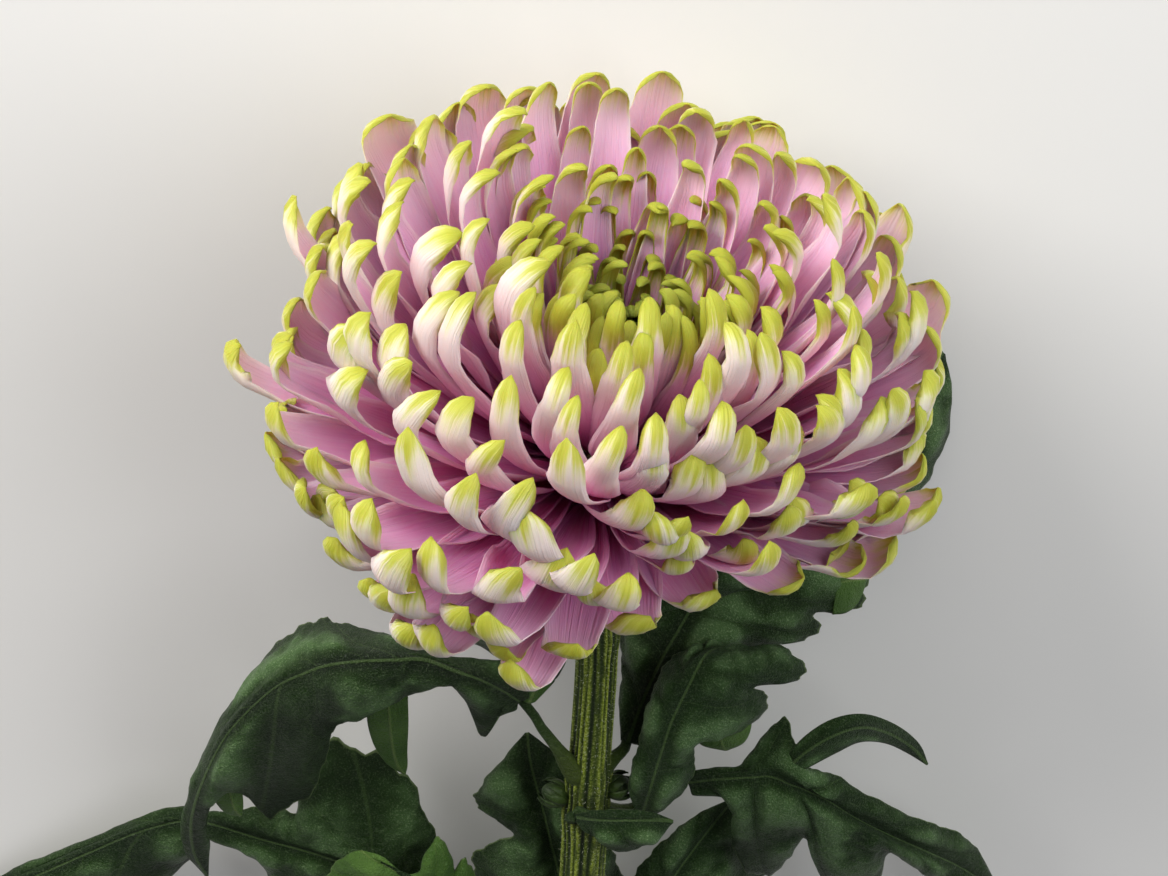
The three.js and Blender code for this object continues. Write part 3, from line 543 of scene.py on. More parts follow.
# Colours of the stem, from painted shade in the grooves up to the paler ribs, and of its cut end.
STEM_GROOVE_SHADE_TO_RIBS = [
    (0.0, (0.002, 0.005, 0.001)), (0.32, (0.022, 0.040, 0.003)), (0.6, (0.12, 0.17, 0.010)),
    (1.0, (0.34, 0.42, 0.04)),
]
STEM_DOWN = (0.62, 0.70, 0.22)
STEM_PITS = (0.010, 0.022, 0.002)
STEM_STREAKS = (0.022, 0.042, 0.003)
CUT_FLESH = (0.30, 0.40, 0.12)
CUT_PITH = (0.55, 0.58, 0.36)
STEM_PARTS = {"down": 0.7, "pits": 0.7, "streaks": 0.75}
STEM_GRAIN_SCALE = 2100
STEM_STREAK_SCALES = (700, 50)

# The other colours. Bracts and buds are dark at the tip and lighter at the root.
RECEPTACLE_COLOUR = (0.30, 0.34, 0.12)
BRACT_GREENS = ((0.045, 0.085, 0.02), (0.10, 0.16, 0.045))
BUD_GREENS = ((0.010, 0.026, 0.003), (0.040, 0.075, 0.010))
BRACT_SPECKS = (0.20, 0.27, 0.12)
HAIR_COLOUR = (0.55, 0.6, 0.42)

# The lights: place right, up and out of the picture in metres, size, power and colour.
LIGHTS = {
    "key": ((-0.58, 0.42, 0.58), 0.6, 11.0, (1.0, 0.98, 0.96)),
    "fill": ((0.58, 0.08, 0.64), 0.8, 6.0, (0.96, 0.98, 1.0)),
    "rim": ((0.1, 0.62, 0.85), 0.7, 3.6, (1.0, 0.98, 0.95)),
}
SURROUNDINGS = (0.9, 0.93, 1.0)
SURROUNDINGS_STRENGTH = 0.13
FLOOR_SIZE = 4
FLOOR_COLOUR = (0.72, 0.71, 0.69)


def smooth(value):
    value = min(max(value, 0.0), 1.0)
    return value * value * (3 - 2 * value)


def lerp(low, high, part):
    return low + (high - low) * part


def between(table, place, place_key, value_key):
    """A value read from a table between its two nearest entries."""
    i = 1
    while i < len(table) - 1 and table[i][place_key] < place:
        i += 1
    low, high = table[i - 1], table[i]
    part = (place - low[place_key]) / (high[place_key] - low[place_key])
    return lerp(low[value_key], high[value_key], part)


def seeded_draw(seed):
    """A repeatable draw between 0 and 1, the same as the solids use."""
    state = seed

    def draw():
        nonlocal state
        state = (state + 0x6D2B79F5) & 0xFFFFFFFF
        bits = ((state ^ (state >> 15)) * (state | 1)) & 0xFFFFFFFF
        bits ^= (bits + (((bits ^ (bits >> 7)) * (bits | 61)) & 0xFFFFFFFF)) & 0xFFFFFFFF
        return ((bits ^ (bits >> 14)) & 0xFFFFFFFF) / 4294967296

    return draw


# Directions that the stem and the head are built on.
TILT = math.asin((HEAD_PLACE.z - STEM_RADIUS) / STEM_LENGTH)
STEM_UP = Vector((0, math.cos(TILT), math.sin(TILT)))
ACROSS = Vector((1, 0, 0))


def leaning_axes(lean):
    angle = math.radians(lean)
    k = STEM_UP * math.cos(angle) + ACROSS * math.sin(angle)
    i = ACROSS * math.cos(angle) - STEM_UP * math.sin(angle)
    return i, i.cross(k), k


def catmull(p0, p1, p2, p3, t):
    """A smooth curve through p1 and p2, at t between 0 and 1."""
    return 0.5 * (
        2 * p1 + (p2 - p0) * t + (2 * p0 - 5 * p1 + 4 * p2 - p3) * t ** 2
        + (3 * p1 - p0 - 3 * p2 + p3) * t ** 3
    )


def along_points(points, place):
    """The place on a smooth curve through points, where place counts points from the first."""
    last = len(points) - 1
    i = min(int(place), last - 1)
    part = place - i
    before = points[i - 1] if i > 0 else 2 * points[0] - points[1]
    after = points[i + 2] if i + 2 <= last else 2 * points[last] - points[last - 1]
    return catmull(before, points[i], points[i + 1], after, part)


def even_path(points, count, fineness=400):
    """count + 1 evenly spaced points of the smooth curve through points."""
    fine = [along_points(points, (len(points) - 1) * q / fineness) for q in range(fineness + 1)]
    reach = [0.0]
    for a, b in zip(fine, fine[1:]):
        reach.append(reach[-1] + (b - a).length)
    path = []
    q = 0
    for step in range(count + 1):
        goal = reach[-1] * step / count
        while q < fineness - 1 and reach[q + 1] < goal:
            q += 1
        part = (goal - reach[q]) / max(reach[q + 1] - reach[q], 1e-9)
        path.append(fine[q].lerp(fine[q + 1], min(part, 1.0)))
    return path


def frames_along(path):
    """For each point of a path, the side and rise directions across it."""
    frames = []
    for i, point in enumerate(path):
        tangent = (path[min(i + 1, len(path) - 1)] - path[max(i - 1, 0)]).normalized()
        side = tangent.cross(UP).normalized()
        frames.append((point, side, side.cross(tangent)))
    return frames


# Objects and meshes.
def deselect_all():
    for item in bpy.context.selected_objects:
        item.select_set(False)


def taken_mesh(item):
    """The mesh of a primitive, which is then removed."""
    mesh = item.data.copy()
    bpy.data.objects.remove(item)
    return mesh


def copied(bm, mesh):
    """Adds a copy of a mesh, and gives its new vertices."""
    first = len(bm.verts)
    bm.from_mesh(mesh)
    bm.verts.ensure_lookup_table()
    return bm.verts[first:]


def float_layers(bm, *names):
    return {name: bm.verts.layers.float.new(name) for name in names}


def finish_piece(name, bm, material, nodes=()):
    """Makes a piece of a mesh in millimetres, and says what it stands for."""
    bmesh.ops.recalc_face_normals(bm, faces=bm.faces)
    bmesh.ops.scale(bm, vec=(MM, MM, MM), verts=bm.verts)
    mesh = bpy.data.meshes.new(name)
    bm.to_mesh(mesh)
    bm.free()
    mesh.materials.append(material)
    mesh.polygons.foreach_set("use_smooth", [True] * len(mesh.polygons))
    piece = bpy.data.objects.new(name, mesh)
    bpy.context.scene.collection.objects.link(piece)
    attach(piece, "root")
    if nodes:
        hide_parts(*nodes)
    return piece


def master_grid(columns, rows, thickness=0.1):
    """A flat strap with two faces: x from -1 to 1 across it, y from 0 to 1 along it."""
    deselect_all()
    bpy.ops.mesh.primitive_grid_add(x_subdivisions=columns, y_subdivisions=rows, size=2)
    strap = bpy.context.object
    solidify = strap.modifiers.new("thickness", "SOLIDIFY")
    solidify.thickness = thickness
    solidify.offset = 0
    bpy.ops.object.modifier_apply(modifier=solidify.name)
    for vertex in strap.data.vertices:
        vertex.co.y = (vertex.co.y + 1) / 2
    return taken_mesh(strap)


def face_of(vertex):
    """Which face of a master grid a vertex is on: 1 for the upper one, -1 for the lower."""
    return 1 if vertex.co.z > 0 else -1


def master_tube(around, along):
    """A closed straight tube of radius 1, with rings of around points at heights 0 to along."""
    deselect_all()
    bpy.ops.mesh.primitive_cylinder_add(vertices=around, radius=1, depth=along, location=(0, 0, along / 2))
    tube = bpy.context.object
    bpy.ops.object.transform_apply(location=True)
    if along > 1:
        bpy.ops.object.mode_set(mode="EDIT")
        bpy.ops.mesh.select_mode(type="EDGE")
        bpy.ops.mesh.select_all(action="DESELECT")
        bpy.ops.object.mode_set(mode="OBJECT")
        for edge in tube.data.edges:
            low, high = [tube.data.vertices[index].co.z for index in edge.vertices]
            edge.select = abs(high - low) > 0.5
        bpy.ops.object.mode_set(mode="EDIT")
        bpy.ops.mesh.subdivide(number_cuts=along - 1)
        bpy.ops.object.mode_set(mode="OBJECT")
    return taken_mesh(tube)


def ring_tube(bm, rings, layers=(), value_at=None):
    """Adds a closed tube through rings of equal count, and gives its faces.

    value_at gives the numbers of the layers for a ring and a place in it."""
    around = len(rings[0])
    mesh = master_tube(around, len(rings) - 1)
    first_face = len(bm.faces)
    for vertex in copied(bm, mesh):
        r = round(vertex.co.z)
        c = round(math.atan2(vertex.co.y, vertex.co.x) / math.tau * around) % around
        vertex.co = rings[r][c]
        if value_at:
            for layer, value in zip(layers, value_at(r, c)):
                vertex[layer] = value
    bpy.data.meshes.remove(mesh)
    bm.faces.ensure_lookup_table()
    return bm.faces[first_face:]


# Node materials.
def new_material(name):
    material = bpy.data.materials.new(name)
    material.use_nodes = True
    tree = material.node_tree
    surface = tree.nodes["Principled BSDF"]
    return material, tree, surface


def set_finish(surface, **values):
    """Sets the surface's own sockets, such as Sheen_Weight, to constants."""
    for name, value in values.items():
        surface.inputs[name.replace("_", " ")].default_value = value


def attribute(tree, name):
    node = tree.nodes.new("ShaderNodeAttribute")
    node.attribute_name = name
    return node.outputs["Fac"]


def feed(tree, socket, value):
    """Links a socket, or sets it where the value is a number or a colour."""
    if isinstance(value, tuple):
        socket.default_value = (*value, 1)
    elif isinstance(value, (int, float)):
        socket.default_value = value
    else:
        tree.links.new(value, socket)


def combine(tree, operation, first, second):
    """One step of arithmetic on sockets or numbers."""
    node = tree.nodes.new("ShaderNodeMath")
    node.operation = operation
    feed(tree, node.inputs[0], first)
    feed(tree, node.inputs[1], second)
    return node.outputs[0]


def times(tree, first, second):
    return combine(tree, "MULTIPLY", first, second)


def plus(tree, first, second):
    return combine(tree, "ADD", first, second)


def step_between(tree, value, low, high):
    """0 below low, 1 above high and smooth between them. low may be the larger."""
    node = tree.nodes.new("ShaderNodeMapRange")
    node.interpolation_type = "SMOOTHSTEP"
    if low > high:
        low, high = high, low
        node.inputs["To Min"].default_value = 1
        node.inputs["To Max"].default_value = 0
    node.inputs["From Min"].default_value = low
    node.inputs["From Max"].default_value = high
    tree.links.new(value, node.inputs["Value"])
    return node.outputs["Result"]


def ramp(tree, value, stops):
    """A colour that runs through stops of (place, colour)."""
    node = tree.nodes.new("ShaderNodeValToRGB")
    elements = node.color_ramp.elements
    while len(elements) < len(stops):
        elements.new(0.5)
    for element, (place, colour) in zip(elements, stops):
        element.position = place
        element.color = (*colour, 1)
    tree.links.new(value, node.inputs["Fac"])
    return node.outputs["Color"]


def mixed(tree, part, first, second, blend="MIX"):
    node = tree.nodes.new("ShaderNodeMix")
    node.data_type = "RGBA"
    node.blend_type = blend
    for index, value in ((0, part), (6, first), (7, second)):
        feed(tree, node.inputs[index], value)
    return node.outputs[2]


def joined_vector(tree, x, y, z):
    node = tree.nodes.new("ShaderNodeCombineXYZ")
    for socket, value in zip(node.inputs, (x, y, z)):
        feed(tree, socket, value)
    return node.outputs[0]


def object_place(tree):
    return tree.nodes.new("ShaderNodeTexCoord").outputs["Object"]


def mottle(tree, scale, detail=3, vector=None, rough=0.55):
    """Fractal noise on Object coordinates, or on a vector of its own."""
    node = tree.nodes.new("ShaderNodeTexNoise")
    node.inputs["Scale"].default_value = scale
    node.inputs["Detail"].default_value = detail
    node.inputs["Roughness"].default_value = rough
    tree.links.new(vector or object_place(tree), node.inputs["Vector"])
    return node.outputs["Fac"]


def stretched(tree, across_scale, along_scale):
    """Object coordinates scaled so that a pattern runs along the stem."""
    node = tree.nodes.new("ShaderNodeMapping")
    node.inputs["Scale"].default_value = (across_scale, along_scale, across_scale)
    tree.links.new(object_place(tree), node.inputs["Vector"])
    return node.outputs["Vector"]


def relief(tree, surface, height, distance, strength):
    node = tree.nodes.new("ShaderNodeBump")
    node.inputs["Distance"].default_value = distance
    node.inputs["Strength"].default_value = strength
    tree.links.new(height, node.inputs["Height"])
    tree.links.new(node.outputs["Normal"], surface.inputs["Normal"])


def floret_material():
    material, tree, surface = new_material("satin floret")
    names = ("tip", "across", "along", "face", "age", "tint")
    tip, across, along, face, age, tint = [attribute(tree, name) for name in names]
    seed = times(tree, tint, STREAK_SHIFT)
    broad, narrow = [
        joined_vector(tree, times(tree, across, wide), times(tree, along, far), seed)
        for wide, far in (BROAD_STREAKS, FINE_STREAKS)
    ]
    lines = mottle(tree, 1.0, 3, broad)
    fine_lines = mottle(tree, 1.0, 2, narrow)
    margin = combine(tree, "ABSOLUTE", across, 0)
    outside = step_between(tree, face, 0.1, -0.1)

    # Painted shade on the inner faces of the outermost florets.
    skirt_shade = times(tree, step_between(tree, age, *SKIRT_SHADE_AGES), FLORET_PARTS["skirt_shade"])
    inner = mixed(tree, skirt_shade, ramp(tree, along, INNER_PINKS), SKIRT_SHADE_PINK)
    body = mixed(tree, outside, inner, ramp(tree, along, OUTER_PINKS))
    edge = times(tree, step_between(tree, margin, 0.7, 1.0), step_between(tree, along, 0.2, 0.7))
    body = mixed(tree, times(tree, edge, FLORET_PARTS["edge"]), body, EDGE_CREAM)
    streak = times(tree, step_between(tree, fine_lines, 0.35, 0.68), FLORET_PARTS["streaks"])
    body = mixed(tree, streak, body, mixed(tree, 0.5, body, STREAK_CREAM))
    lilac = mixed(tree, 1.0, body, LILAC_SHIFT, "MULTIPLY")
    body = mixed(tree, times(tree, tint, FLORET_PARTS["lilac"]), body, lilac)

    reach = lime_reach(tree, lines, fine_lines, margin, outside, age)
    from_tip = combine(tree, "SUBTRACT", tip, reach)
    green = ramp(tree, combine(tree, "DIVIDE", from_tip, LIME_SPAN), LIME)
    # The innermost florets turn a darker green: partly their own colour, partly painted shade in the deep
    # eye.
    eye_green_and_shade = times(tree, step_between(tree, age, *EYE_AGES), FLORET_PARTS["eye"])
    green = mixed(tree, eye_green_and_shade, green, EYE_GREEN_AND_SHADE)
    lime_part = times(tree, step_between(tree, from_tip, *LIME_FADE), FLORET_PARTS["lime"])
    tree.links.new(mixed(tree, lime_part, body, green), surface.inputs["Base Color"])
    set_finish(surface, Roughness=0.46, Specular_IOR_Level=0.3, Subsurface_Weight=0.4)
    set_finish(surface, Subsurface_Radius=(1.0, 0.55, 0.45), Subsurface_Scale=0.0016)
    relief(tree, surface, plus(tree, fine_lines, times(tree, lines, 0.8)), 0.0004, 0.7)
    return material


def lime_reach(tree, lines, fine_lines, margin, outside, age):
    """How far the lime runs down: further on the outer face, at the rims and in the eye."""
    far = LIME_REACH
    streaks = plus(tree, times(tree, lines, far["streaks"]), times(tree, fine_lines, far["fine"]))
    reach = combine(tree, "SUBTRACT", streaks, far["less"])
    reach = plus(tree, reach, times(tree, outside, far["outside"]))
    reach = plus(tree, reach, times(tree, step_between(tree, margin, 0.6, 1.0), far["rim"]))
    keel = times(tree, step_between(tree, margin, 0.5, 0.0), times(tree, outside, far["keel"]))
    reach = plus(tree, reach, keel)
    more = plus(tree, far["eye"], times(tree, outside, far["eye_outside"]))
    return plus(tree, reach, times(tree, step_between(tree, age, *EYE_LIME_AGES), more))


def leaf_veins(tree, midrib, phase):
    """The midrib, a side vein where the phase is a whole number, and finer veins between."""
    away = combine(tree, "PINGPONG", phase, 0.5)
    side_vein = times(tree, step_between(tree, away, 0.012, 0.002), 0.45)
    vein = combine(tree, "MAXIMUM", side_vein, step_between(tree, midrib, 0.34, 0.12))
    wandering = plus(tree, times(tree, phase, 3), mottle(tree, LEAF_SCALES["veins"], 2))
    finer = combine(tree, "PINGPONG", wandering, 0.5)
    return combine(tree, "MAXIMUM", vein, times(tree, step_between(tree, finer, 0.03, 0.008), 0.3))


def leaf_material():
    material, tree, surface = new_material("hairy leaf")
    names = ("midrib", "phase", "margin", "face", "tint", "swell", "root")
    midrib, phase, margin, face, tint, swell, root = [attribute(tree, name) for name in names]
    folds = mottle(tree, LEAF_SCALES["folds"], 3)
    grain = mottle(tree, LEAF_SCALES["grain"], 2, rough=0.7)
    down = mottle(tree, LEAF_SCALES["down"], 4, rough=0.7)
    vein = leaf_veins(tree, midrib, phase)

    part = LEAF_PARTS
    # The top's colour follows random folds and the swelling: painted shade darkens the hollows, and painted
    # light brightens the swellings.
    swell_light_and_shade = plus(tree, times(tree, folds, 0.5), times(tree, swell, 0.5))
    top = mixed(tree, times(tree, tint, part["deep"]), ramp(tree, swell_light_and_shade, LEAF_TOP_SHADE_TO_LIGHT), LEAF_DEEP)
    # Painted sheen: a paler colour on the swellings, as if they caught the light.
    painted_sheen = times(tree, plus(tree, times(tree, down, 0.5), 0.4), step_between(tree, swell_light_and_shade, 0.38, 0.74))
    top = mixed(tree, times(tree, painted_sheen, part["painted_sheen"]), top, LEAF_PAINTED_SHEEN)
    # Pale hair specks, partly real hairs and partly painted glints, stronger under the painted sheen.
    specks = times(tree, step_between(tree, grain, 0.54, 0.64), plus(tree, times(tree, painted_sheen, 0.5), 0.14))
    top = mixed(tree, times(tree, specks, part["specks"]), top, LEAF_HAIRS_AND_GLINTS)
    top = mixed(tree, times(tree, vein, part["top_veins"]), top, TOP_VEINS)
    underside = ramp(tree, folds, LEAF_UNDERSIDE)
    bottom = mixed(tree, times(tree, vein, part["under_veins"]), underside, UNDER_VEINS)
    body = mixed(tree, step_between(tree, face, 0.1, -0.1), top, bottom)
    rim = step_between(tree, margin, 0.975, 0.995)
    body = mixed(tree, times(tree, rim, part["rim"]), body, LEAF_RIM)
    body = mixed(tree, times(tree, root, part["root"]), body, STALK_ROOT)
    tree.links.new(body, surface.inputs["Base Color"])
    tree.links.new(plus(tree, 0.26, times(tree, down, 0.26)), surface.inputs["Roughness"])
    set_finish(surface, Specular_IOR_Level=0.2, Sheen_Weight=0.04, Sheen_Roughness=0.35)
    set_finish(surface, Sheen_Tint=(0.7, 0.9, 0.7, 1))

    cells = tree.nodes.new("ShaderNodeTexVoronoi")
    cells.feature = "DISTANCE_TO_EDGE"
    cells.inputs["Scale"].default_value = LEAF_SCALES["net"]
    tree.links.new(object_place(tree), cells.inputs["Vector"])
    net = step_between(tree, cells.outputs["Distance"], 0.0, 0.3)
    height = plus(tree, net, times(tree, step_between(tree, grain, 0.35, 0.7), 1.4))
    height = combine(tree, "SUBTRACT", height, times(tree, vein, 1.2))
    relief(tree, surface, height, 0.0002, 0.8)
    return material


def stem_material():
    material, tree, surface = new_material("hairy stem")
    rib = attribute(tree, "rib")
    cut = attribute(tree, "cut")
    grain = mottle(tree, STEM_GRAIN_SCALE, 3, rough=0.75)
    long_grain = mottle(tree, 1.0, 3, stretched(tree, *STEM_STREAK_SCALES))
    hair = step_between(tree, grain, 0.54, 0.62)
    on_ribs = times(tree, hair, step_between(tree, rib, 0.2, 0.8))
    pits = step_between(tree, grain, 0.48, 0.38)
    streaks = step_between(tree, long_grain, 0.52, 0.38)
    # Painted shade darkens the stem's grooves; the ribs are paler.
    body = mixed(tree, times(tree, on_ribs, STEM_PARTS["down"]), ramp(tree, rib, STEM_GROOVE_SHADE_TO_RIBS), STEM_DOWN)
    body = mixed(tree, times(tree, pits, STEM_PARTS["pits"]), body, STEM_PITS)
    body = mixed(tree, times(tree, streaks, STEM_PARTS["streaks"]), body, STEM_STREAKS)
    body = mixed(tree, step_between(tree, cut, 0.2, 0.6), body, CUT_FLESH)
    body = mixed(tree, step_between(tree, cut, 0.7, 1.0), body, CUT_PITH)
    tree.links.new(body, surface.inputs["Base Color"])
    set_finish(surface, Roughness=0.62, Specular_IOR_Level=0.3, Sheen_Weight=0.04, Sheen_Roughness=0.5)
    relief(tree, surface, plus(tree, hair, long_grain), 0.0004, 0.8)
    return material


def bract_material(name, dark, light):
    """Green that darkens from root to tip, for the bracts and the buds."""
    material, tree, surface = new_material(name)
    grain = mottle(tree, 1800, 3, rough=0.7)
    middle = tuple((a + b) / 2 for a, b in zip(dark, light))
    body = ramp(tree, attribute(tree, "along"), [(0.0, light), (0.6, middle), (1.0, dark)])
    specks = times(tree, step_between(tree, grain, 0.5, 0.7), 0.22)
    body = mixed(tree, specks, body, BRACT_SPECKS)
    tree.links.new(body, surface.inputs["Base Color"])
    set_finish(surface, Roughness=0.5, Specular_IOR_Level=0.3, Sheen_Weight=0.03)
    relief(tree, surface, grain, 0.0002, 0.6)
    return material


def plain_material(name, colour, roughness):
    material, tree, surface = new_material(name)
    speckle = times(tree, mottle(tree, 300, 2), 0.3)
    body = mixed(tree, speckle, colour, tuple(c * 0.8 for c in colour))
    tree.links.new(body, surface.inputs["Base Color"])
    set_finish(surface, Roughness=roughness)
    return material


# Bloom.
def floret_age(n):
    """The florets of the rule come first, and then those that are added in the eye."""
    if n < FLORET_COUNT:
        return 1 - (1 - (n + 0.5) / FLORET_COUNT) ** EYE_CROWDING
    return lerp(EYE_FROM, 1, (n - FLORET_COUNT + 0.5) / EYE_FLORETS)


def floret_shapes():
    """What sets each floret: age, angles in degrees and lengths in millimetres."""
    draw = seeded_draw(BLOOM_SEED)
    finer = random.Random(BLOOM_SEED)
    shapes = []
    for n in range(FLORET_COUNT + EYE_FLORETS):
        age = floret_age(n)
        shape = {"age": age}
        for key in ("start", "length", "width", "incurve", "hook", "cup"):
            off = (draw() - 0.5) * SPREAD[key]
            usual = between(BLOOM_AGES, age, "age", key)
            shape[key] = usual + off if key in SPREAD_ANGLES else usual * (1 + off)
        shape["bearing"] = math.radians(n * GOLDEN_ANGLE) + (draw() - 0.5) * SPREAD["bearing"]
        shape["sway"] = (draw() - 0.5) * SPREAD["sway"]
        shape["twist"] = (draw() - 0.5) * SPREAD["twist"]
        shape["tint"] = finer.random()
        shape["ripple"] = finer.uniform(0.02, 0.1) * (3 if finer.random() < 0.25 else 1)
        shape["ripple_at"] = finer.uniform(0, math.tau)
        shape["breadth"] = finer.uniform(0, 0.6) + 0.35 * smooth((0.2 - age) / 0.2)
        shape["beak"] = LONGEST_BEAK * finer.random()
        shape["flare"] = finer.uniform(-0.3, 1.1) * lerp(1, 0.3, smooth((age - 0.3) / 0.3))
        shape["flare_side"] = finer.choice((-1, 1))
        shape["veer"] = (finer.random() - 0.5) * SPREAD["veer"]
        suit_place(shape)
        bearing = bearing_of(shape)
        if age < THIN["to_age"] and THIN["from"] < bearing < THIN["to"] and n % 2:
            continue
        shape["hook_from"] = finer.uniform(*HOOK_FROM)
        shapes.append(shape)
    return shapes


def bearing_of(shape):
    return math.degrees(shape["bearing"]) % 360


def suit_place(shape):
    """Fits a floret to its side of the bloom and to its age."""
    age = shape["age"]
    outer = smooth((SIDES_TO_AGE - age) / SIDES_FADE)
    shape["length"] *= 1 + outer * (between(SIDES, bearing_of(shape), 0, 1) - 1)
    shape["start"] += outer * between(SIDES, bearing_of(shape), 0, 2)
    towards_front = (1 + math.sin(shape["bearing"])) / 2
    shape["hook"] *= lerp(1, lerp(BACK_HOOK, FRONT_HOOK, towards_front), smooth((1 - age) / 0.3))
    shape["width"] *= lerp(1, EYE_SLIMMER, smooth((age - EYE_FROM) / 0.06))
    shape["root"] = lerp(*ROOT_WIDTH, smooth((age - 0.62) / 0.2))
    wide = smooth((1 - towards_front) * 1.2) * smooth((WIDE_TO_AGE - age) / WIDE_FADE)
    shape["width"] *= 1 + WIDE["width"] * wide
    shape["breadth"] = min(shape["breadth"] + WIDE["breadth"] * wide, 1)
    shape["twist"] *= 1 - WIDE["calm"] * wide
    shape["veer"] *= 1 - WIDE["calm"] * wide
    closing = lerp(TIP_CLOSING, WIDE["closing"], wide)
    shape["closing"] = closing * lerp(1, EYE_CLOSING, smooth((age - 0.7) / 0.2))
    for key in ("twist", "sway", "veer"):
        shape[key] *= lerp(1, EYE_CALM, smooth((age - 0.5) / 0.25))


def floret_width(s, root, breadth):
    """The strap widens from its root, then tapers to a round tip, a broader one with more breadth."""
    if s < TAPER_FROM:
        return lerp(root, 1, smooth(s / TAPER_FROM))
    t = (s - TAPER_FROM) / (1 - TAPER_FROM)
    waist = 1 - lerp(*TAPER, breadth) * smooth(t / 0.8)
    past = max(t - ROUND_FROM, 0) / (1 - ROUND_FROM)
    return max(waist * (1 - past ** 2.2) ** 0.5, TIP_END)


def floret_section(curl, ripple):
    """Half of a cross-section: x out, h in, and the direction across the strap, per column."""
    count = FLORET_ACROSS // 2 * SECTION_PARTS
    x = h = 0.0
    section = [(0.0, 0.0, 0.0)]
    for c in range(count):
        angle = curl * ((c + 0.5) / count) ** 1.6
        x += math.cos(angle) / count
        h += math.sin(angle) / count
        if (c + 1) % SECTION_PARTS == 0:
            edge = (c + 1) / count
            section.append((x, h + ripple * edge ** 3, curl * edge ** 1.6))
    return section


def floret_turn(shape, axes, s):
    """The directions along, into and across the strap at a station of its length."""
    i, j, k = axes
    hooked = min(max((s - shape["hook_from"]) / (1 - shape["hook_from"]), 0), 1) ** 1.2
    nip = TIP_NIP * smooth((s - 0.93) / 0.07)
    angle = math.radians(shape["start"] - shape["incurve"] * s ** 1.4 - shape["hook"] * hooked - nip)
    bearing = shape["bearing"] + shape["sway"] * s * s
    out = i * math.cos(bearing) + j * math.sin(bearing)
    along = k * math.cos(angle) + out * math.sin(angle)
    inner = k * math.sin(angle) - out * math.cos(angle)
    side = along.cross(inner)
    veer = shape["veer"] * smooth((s - VEER_FROM) / (1 - VEER_FROM))
    along, side = turned(along, side, veer)
    side, inner = turned(side, inner, shape["twist"] * s ** 1.5)
    return along, inner, side


def turned(first, second, angle):
    """Two crosswise directions, turned in their plane from the first to the second."""
    return (
        first * math.cos(angle) + second * math.sin(angle),
        second * math.cos(angle) - first * math.sin(angle),
    )


def floret_rows(shape, axes):
    """For each row of the strap: its station, centre, and inner and width directions."""
    i, j, k = axes
    base = math.radians(min(shape["start"], LOWEST_ROOT))
    out = i * math.cos(shape["bearing"]) + j * math.sin(shape["bearing"])
    centre = HEAD_PLACE + k * (DOME_HEIGHT * math.cos(base)) + out * (DOME_RADIUS * math.sin(base))
    rows = []
    reached = 0
    for r in range(FLORET_ALONG + 1):
        s = station(r / FLORET_ALONG)
        while reached < round(FLORET_STEPS * s):
            along = floret_turn(shape, axes, (reached + 0.5) / FLORET_STEPS)[0]
            centre = centre + along * (shape["length"] / FLORET_STEPS)
            reached += 1
        _, inner, width = floret_turn(shape, axes, s)
        rows.append((s, centre, inner, width))
    return rows


def station(part):
    """Rows stand closer together towards the hooked tip."""
    return 1 - (1 - part) ** 1.5


def pressed(point):
    """Keeps a floret's point off the surface, and the tips in the height of the solids."""
    point.z += PRESS_LIFT * smooth((PRESS_FROM - point.z) / (PRESS_FROM - PRESS_TO))
    point.z -= 0.5 * max(point.z - HIGHEST_TIPS, 0)
    point.z = max(point.z, LOWEST_FLORET)
    return point


def shaped_rows(shape, axes):
    """The strap's rows with their half width and the sections of both sides."""
    rows = []
    for s, centre, inner, width in floret_rows(shape, axes):
        closing = ROOT_CLOSING * smooth((ROOT_OPEN_FROM - s) / ROOT_OPEN_FROM)
        closing += shape["closing"] * smooth((s - TIP_CLOSING_FROM) / TIP_CLOSING_SPAN)
        curl = shape["cup"] * (1 + closing)
        past_hook = (s - shape["hook_from"] - FLARE_PAST_HOOK) / FLARE_SPAN
        fold = math.exp(-(past_hook ** 2)) * max(shape["flare"], 0)
        wave = math.sin(shape["ripple_at"] + s * MARGIN_RIPPLES)
        ripple = shape["ripple"] * wave * smooth((s - 0.2) / 0.4)
        reach = shape["width"] / 2 * floret_width(s, shape["root"], shape["breadth"])
        flared = floret_section(curl * (1 - FLARE_OPENING * fold), ripple)
        sections = {shape["flare_side"]: flared, -shape["flare_side"]: floret_section(curl, ripple)}
        rows.append((s, centre, inner, width, reach * (1 + FLARE_WIDENING * fold), sections))
    return rows


def add_floret(bm, strap, shape, axes, layers):
    rows = shaped_rows(shape, axes)
    for vertex in copied(bm, strap):
        u, face = vertex.co.x, face_of(vertex)
        row = round(vertex.co.y * FLORET_ALONG)
        s, centre, inner, width, reach, sections = rows[row]
        sign = 1 if u > 0 else -1
        x, h, angle = sections[sign][round(abs(u) * FLORET_ACROSS / 2)]
        thin = FLORET_THICKNESS / 2 * (1 - 0.5 * abs(u)) * (1.25 - 0.6 * s) * face
        across_part = sign * (x * reach - math.sin(angle) * thin)
        inner_part = h * reach + math.cos(angle) * thin
        point = centre + width * across_part + inner * inner_part
        beak = shape["beak"] * shape["length"] * smooth((s - 0.85) / 0.15) * (1 - abs(u)) ** 1.5
        vertex.co = pressed(point + beak * turn_of(rows, row))
        marks = {
            "tip": (1 - s) * shape["length"], "across": u, "along": s, "face": face,
            "age": shape["age"], "tint": shape["tint"],
        }
        for key, value in marks.items():
            vertex[layers[key]] = value


def turn_of(rows, row):
    """The direction along the strap at a row."""
    low, high = max(row - 1, 0), min(row + 1, len(rows) - 1)
    return (rows[high][1] - rows[low][1]).normalized()


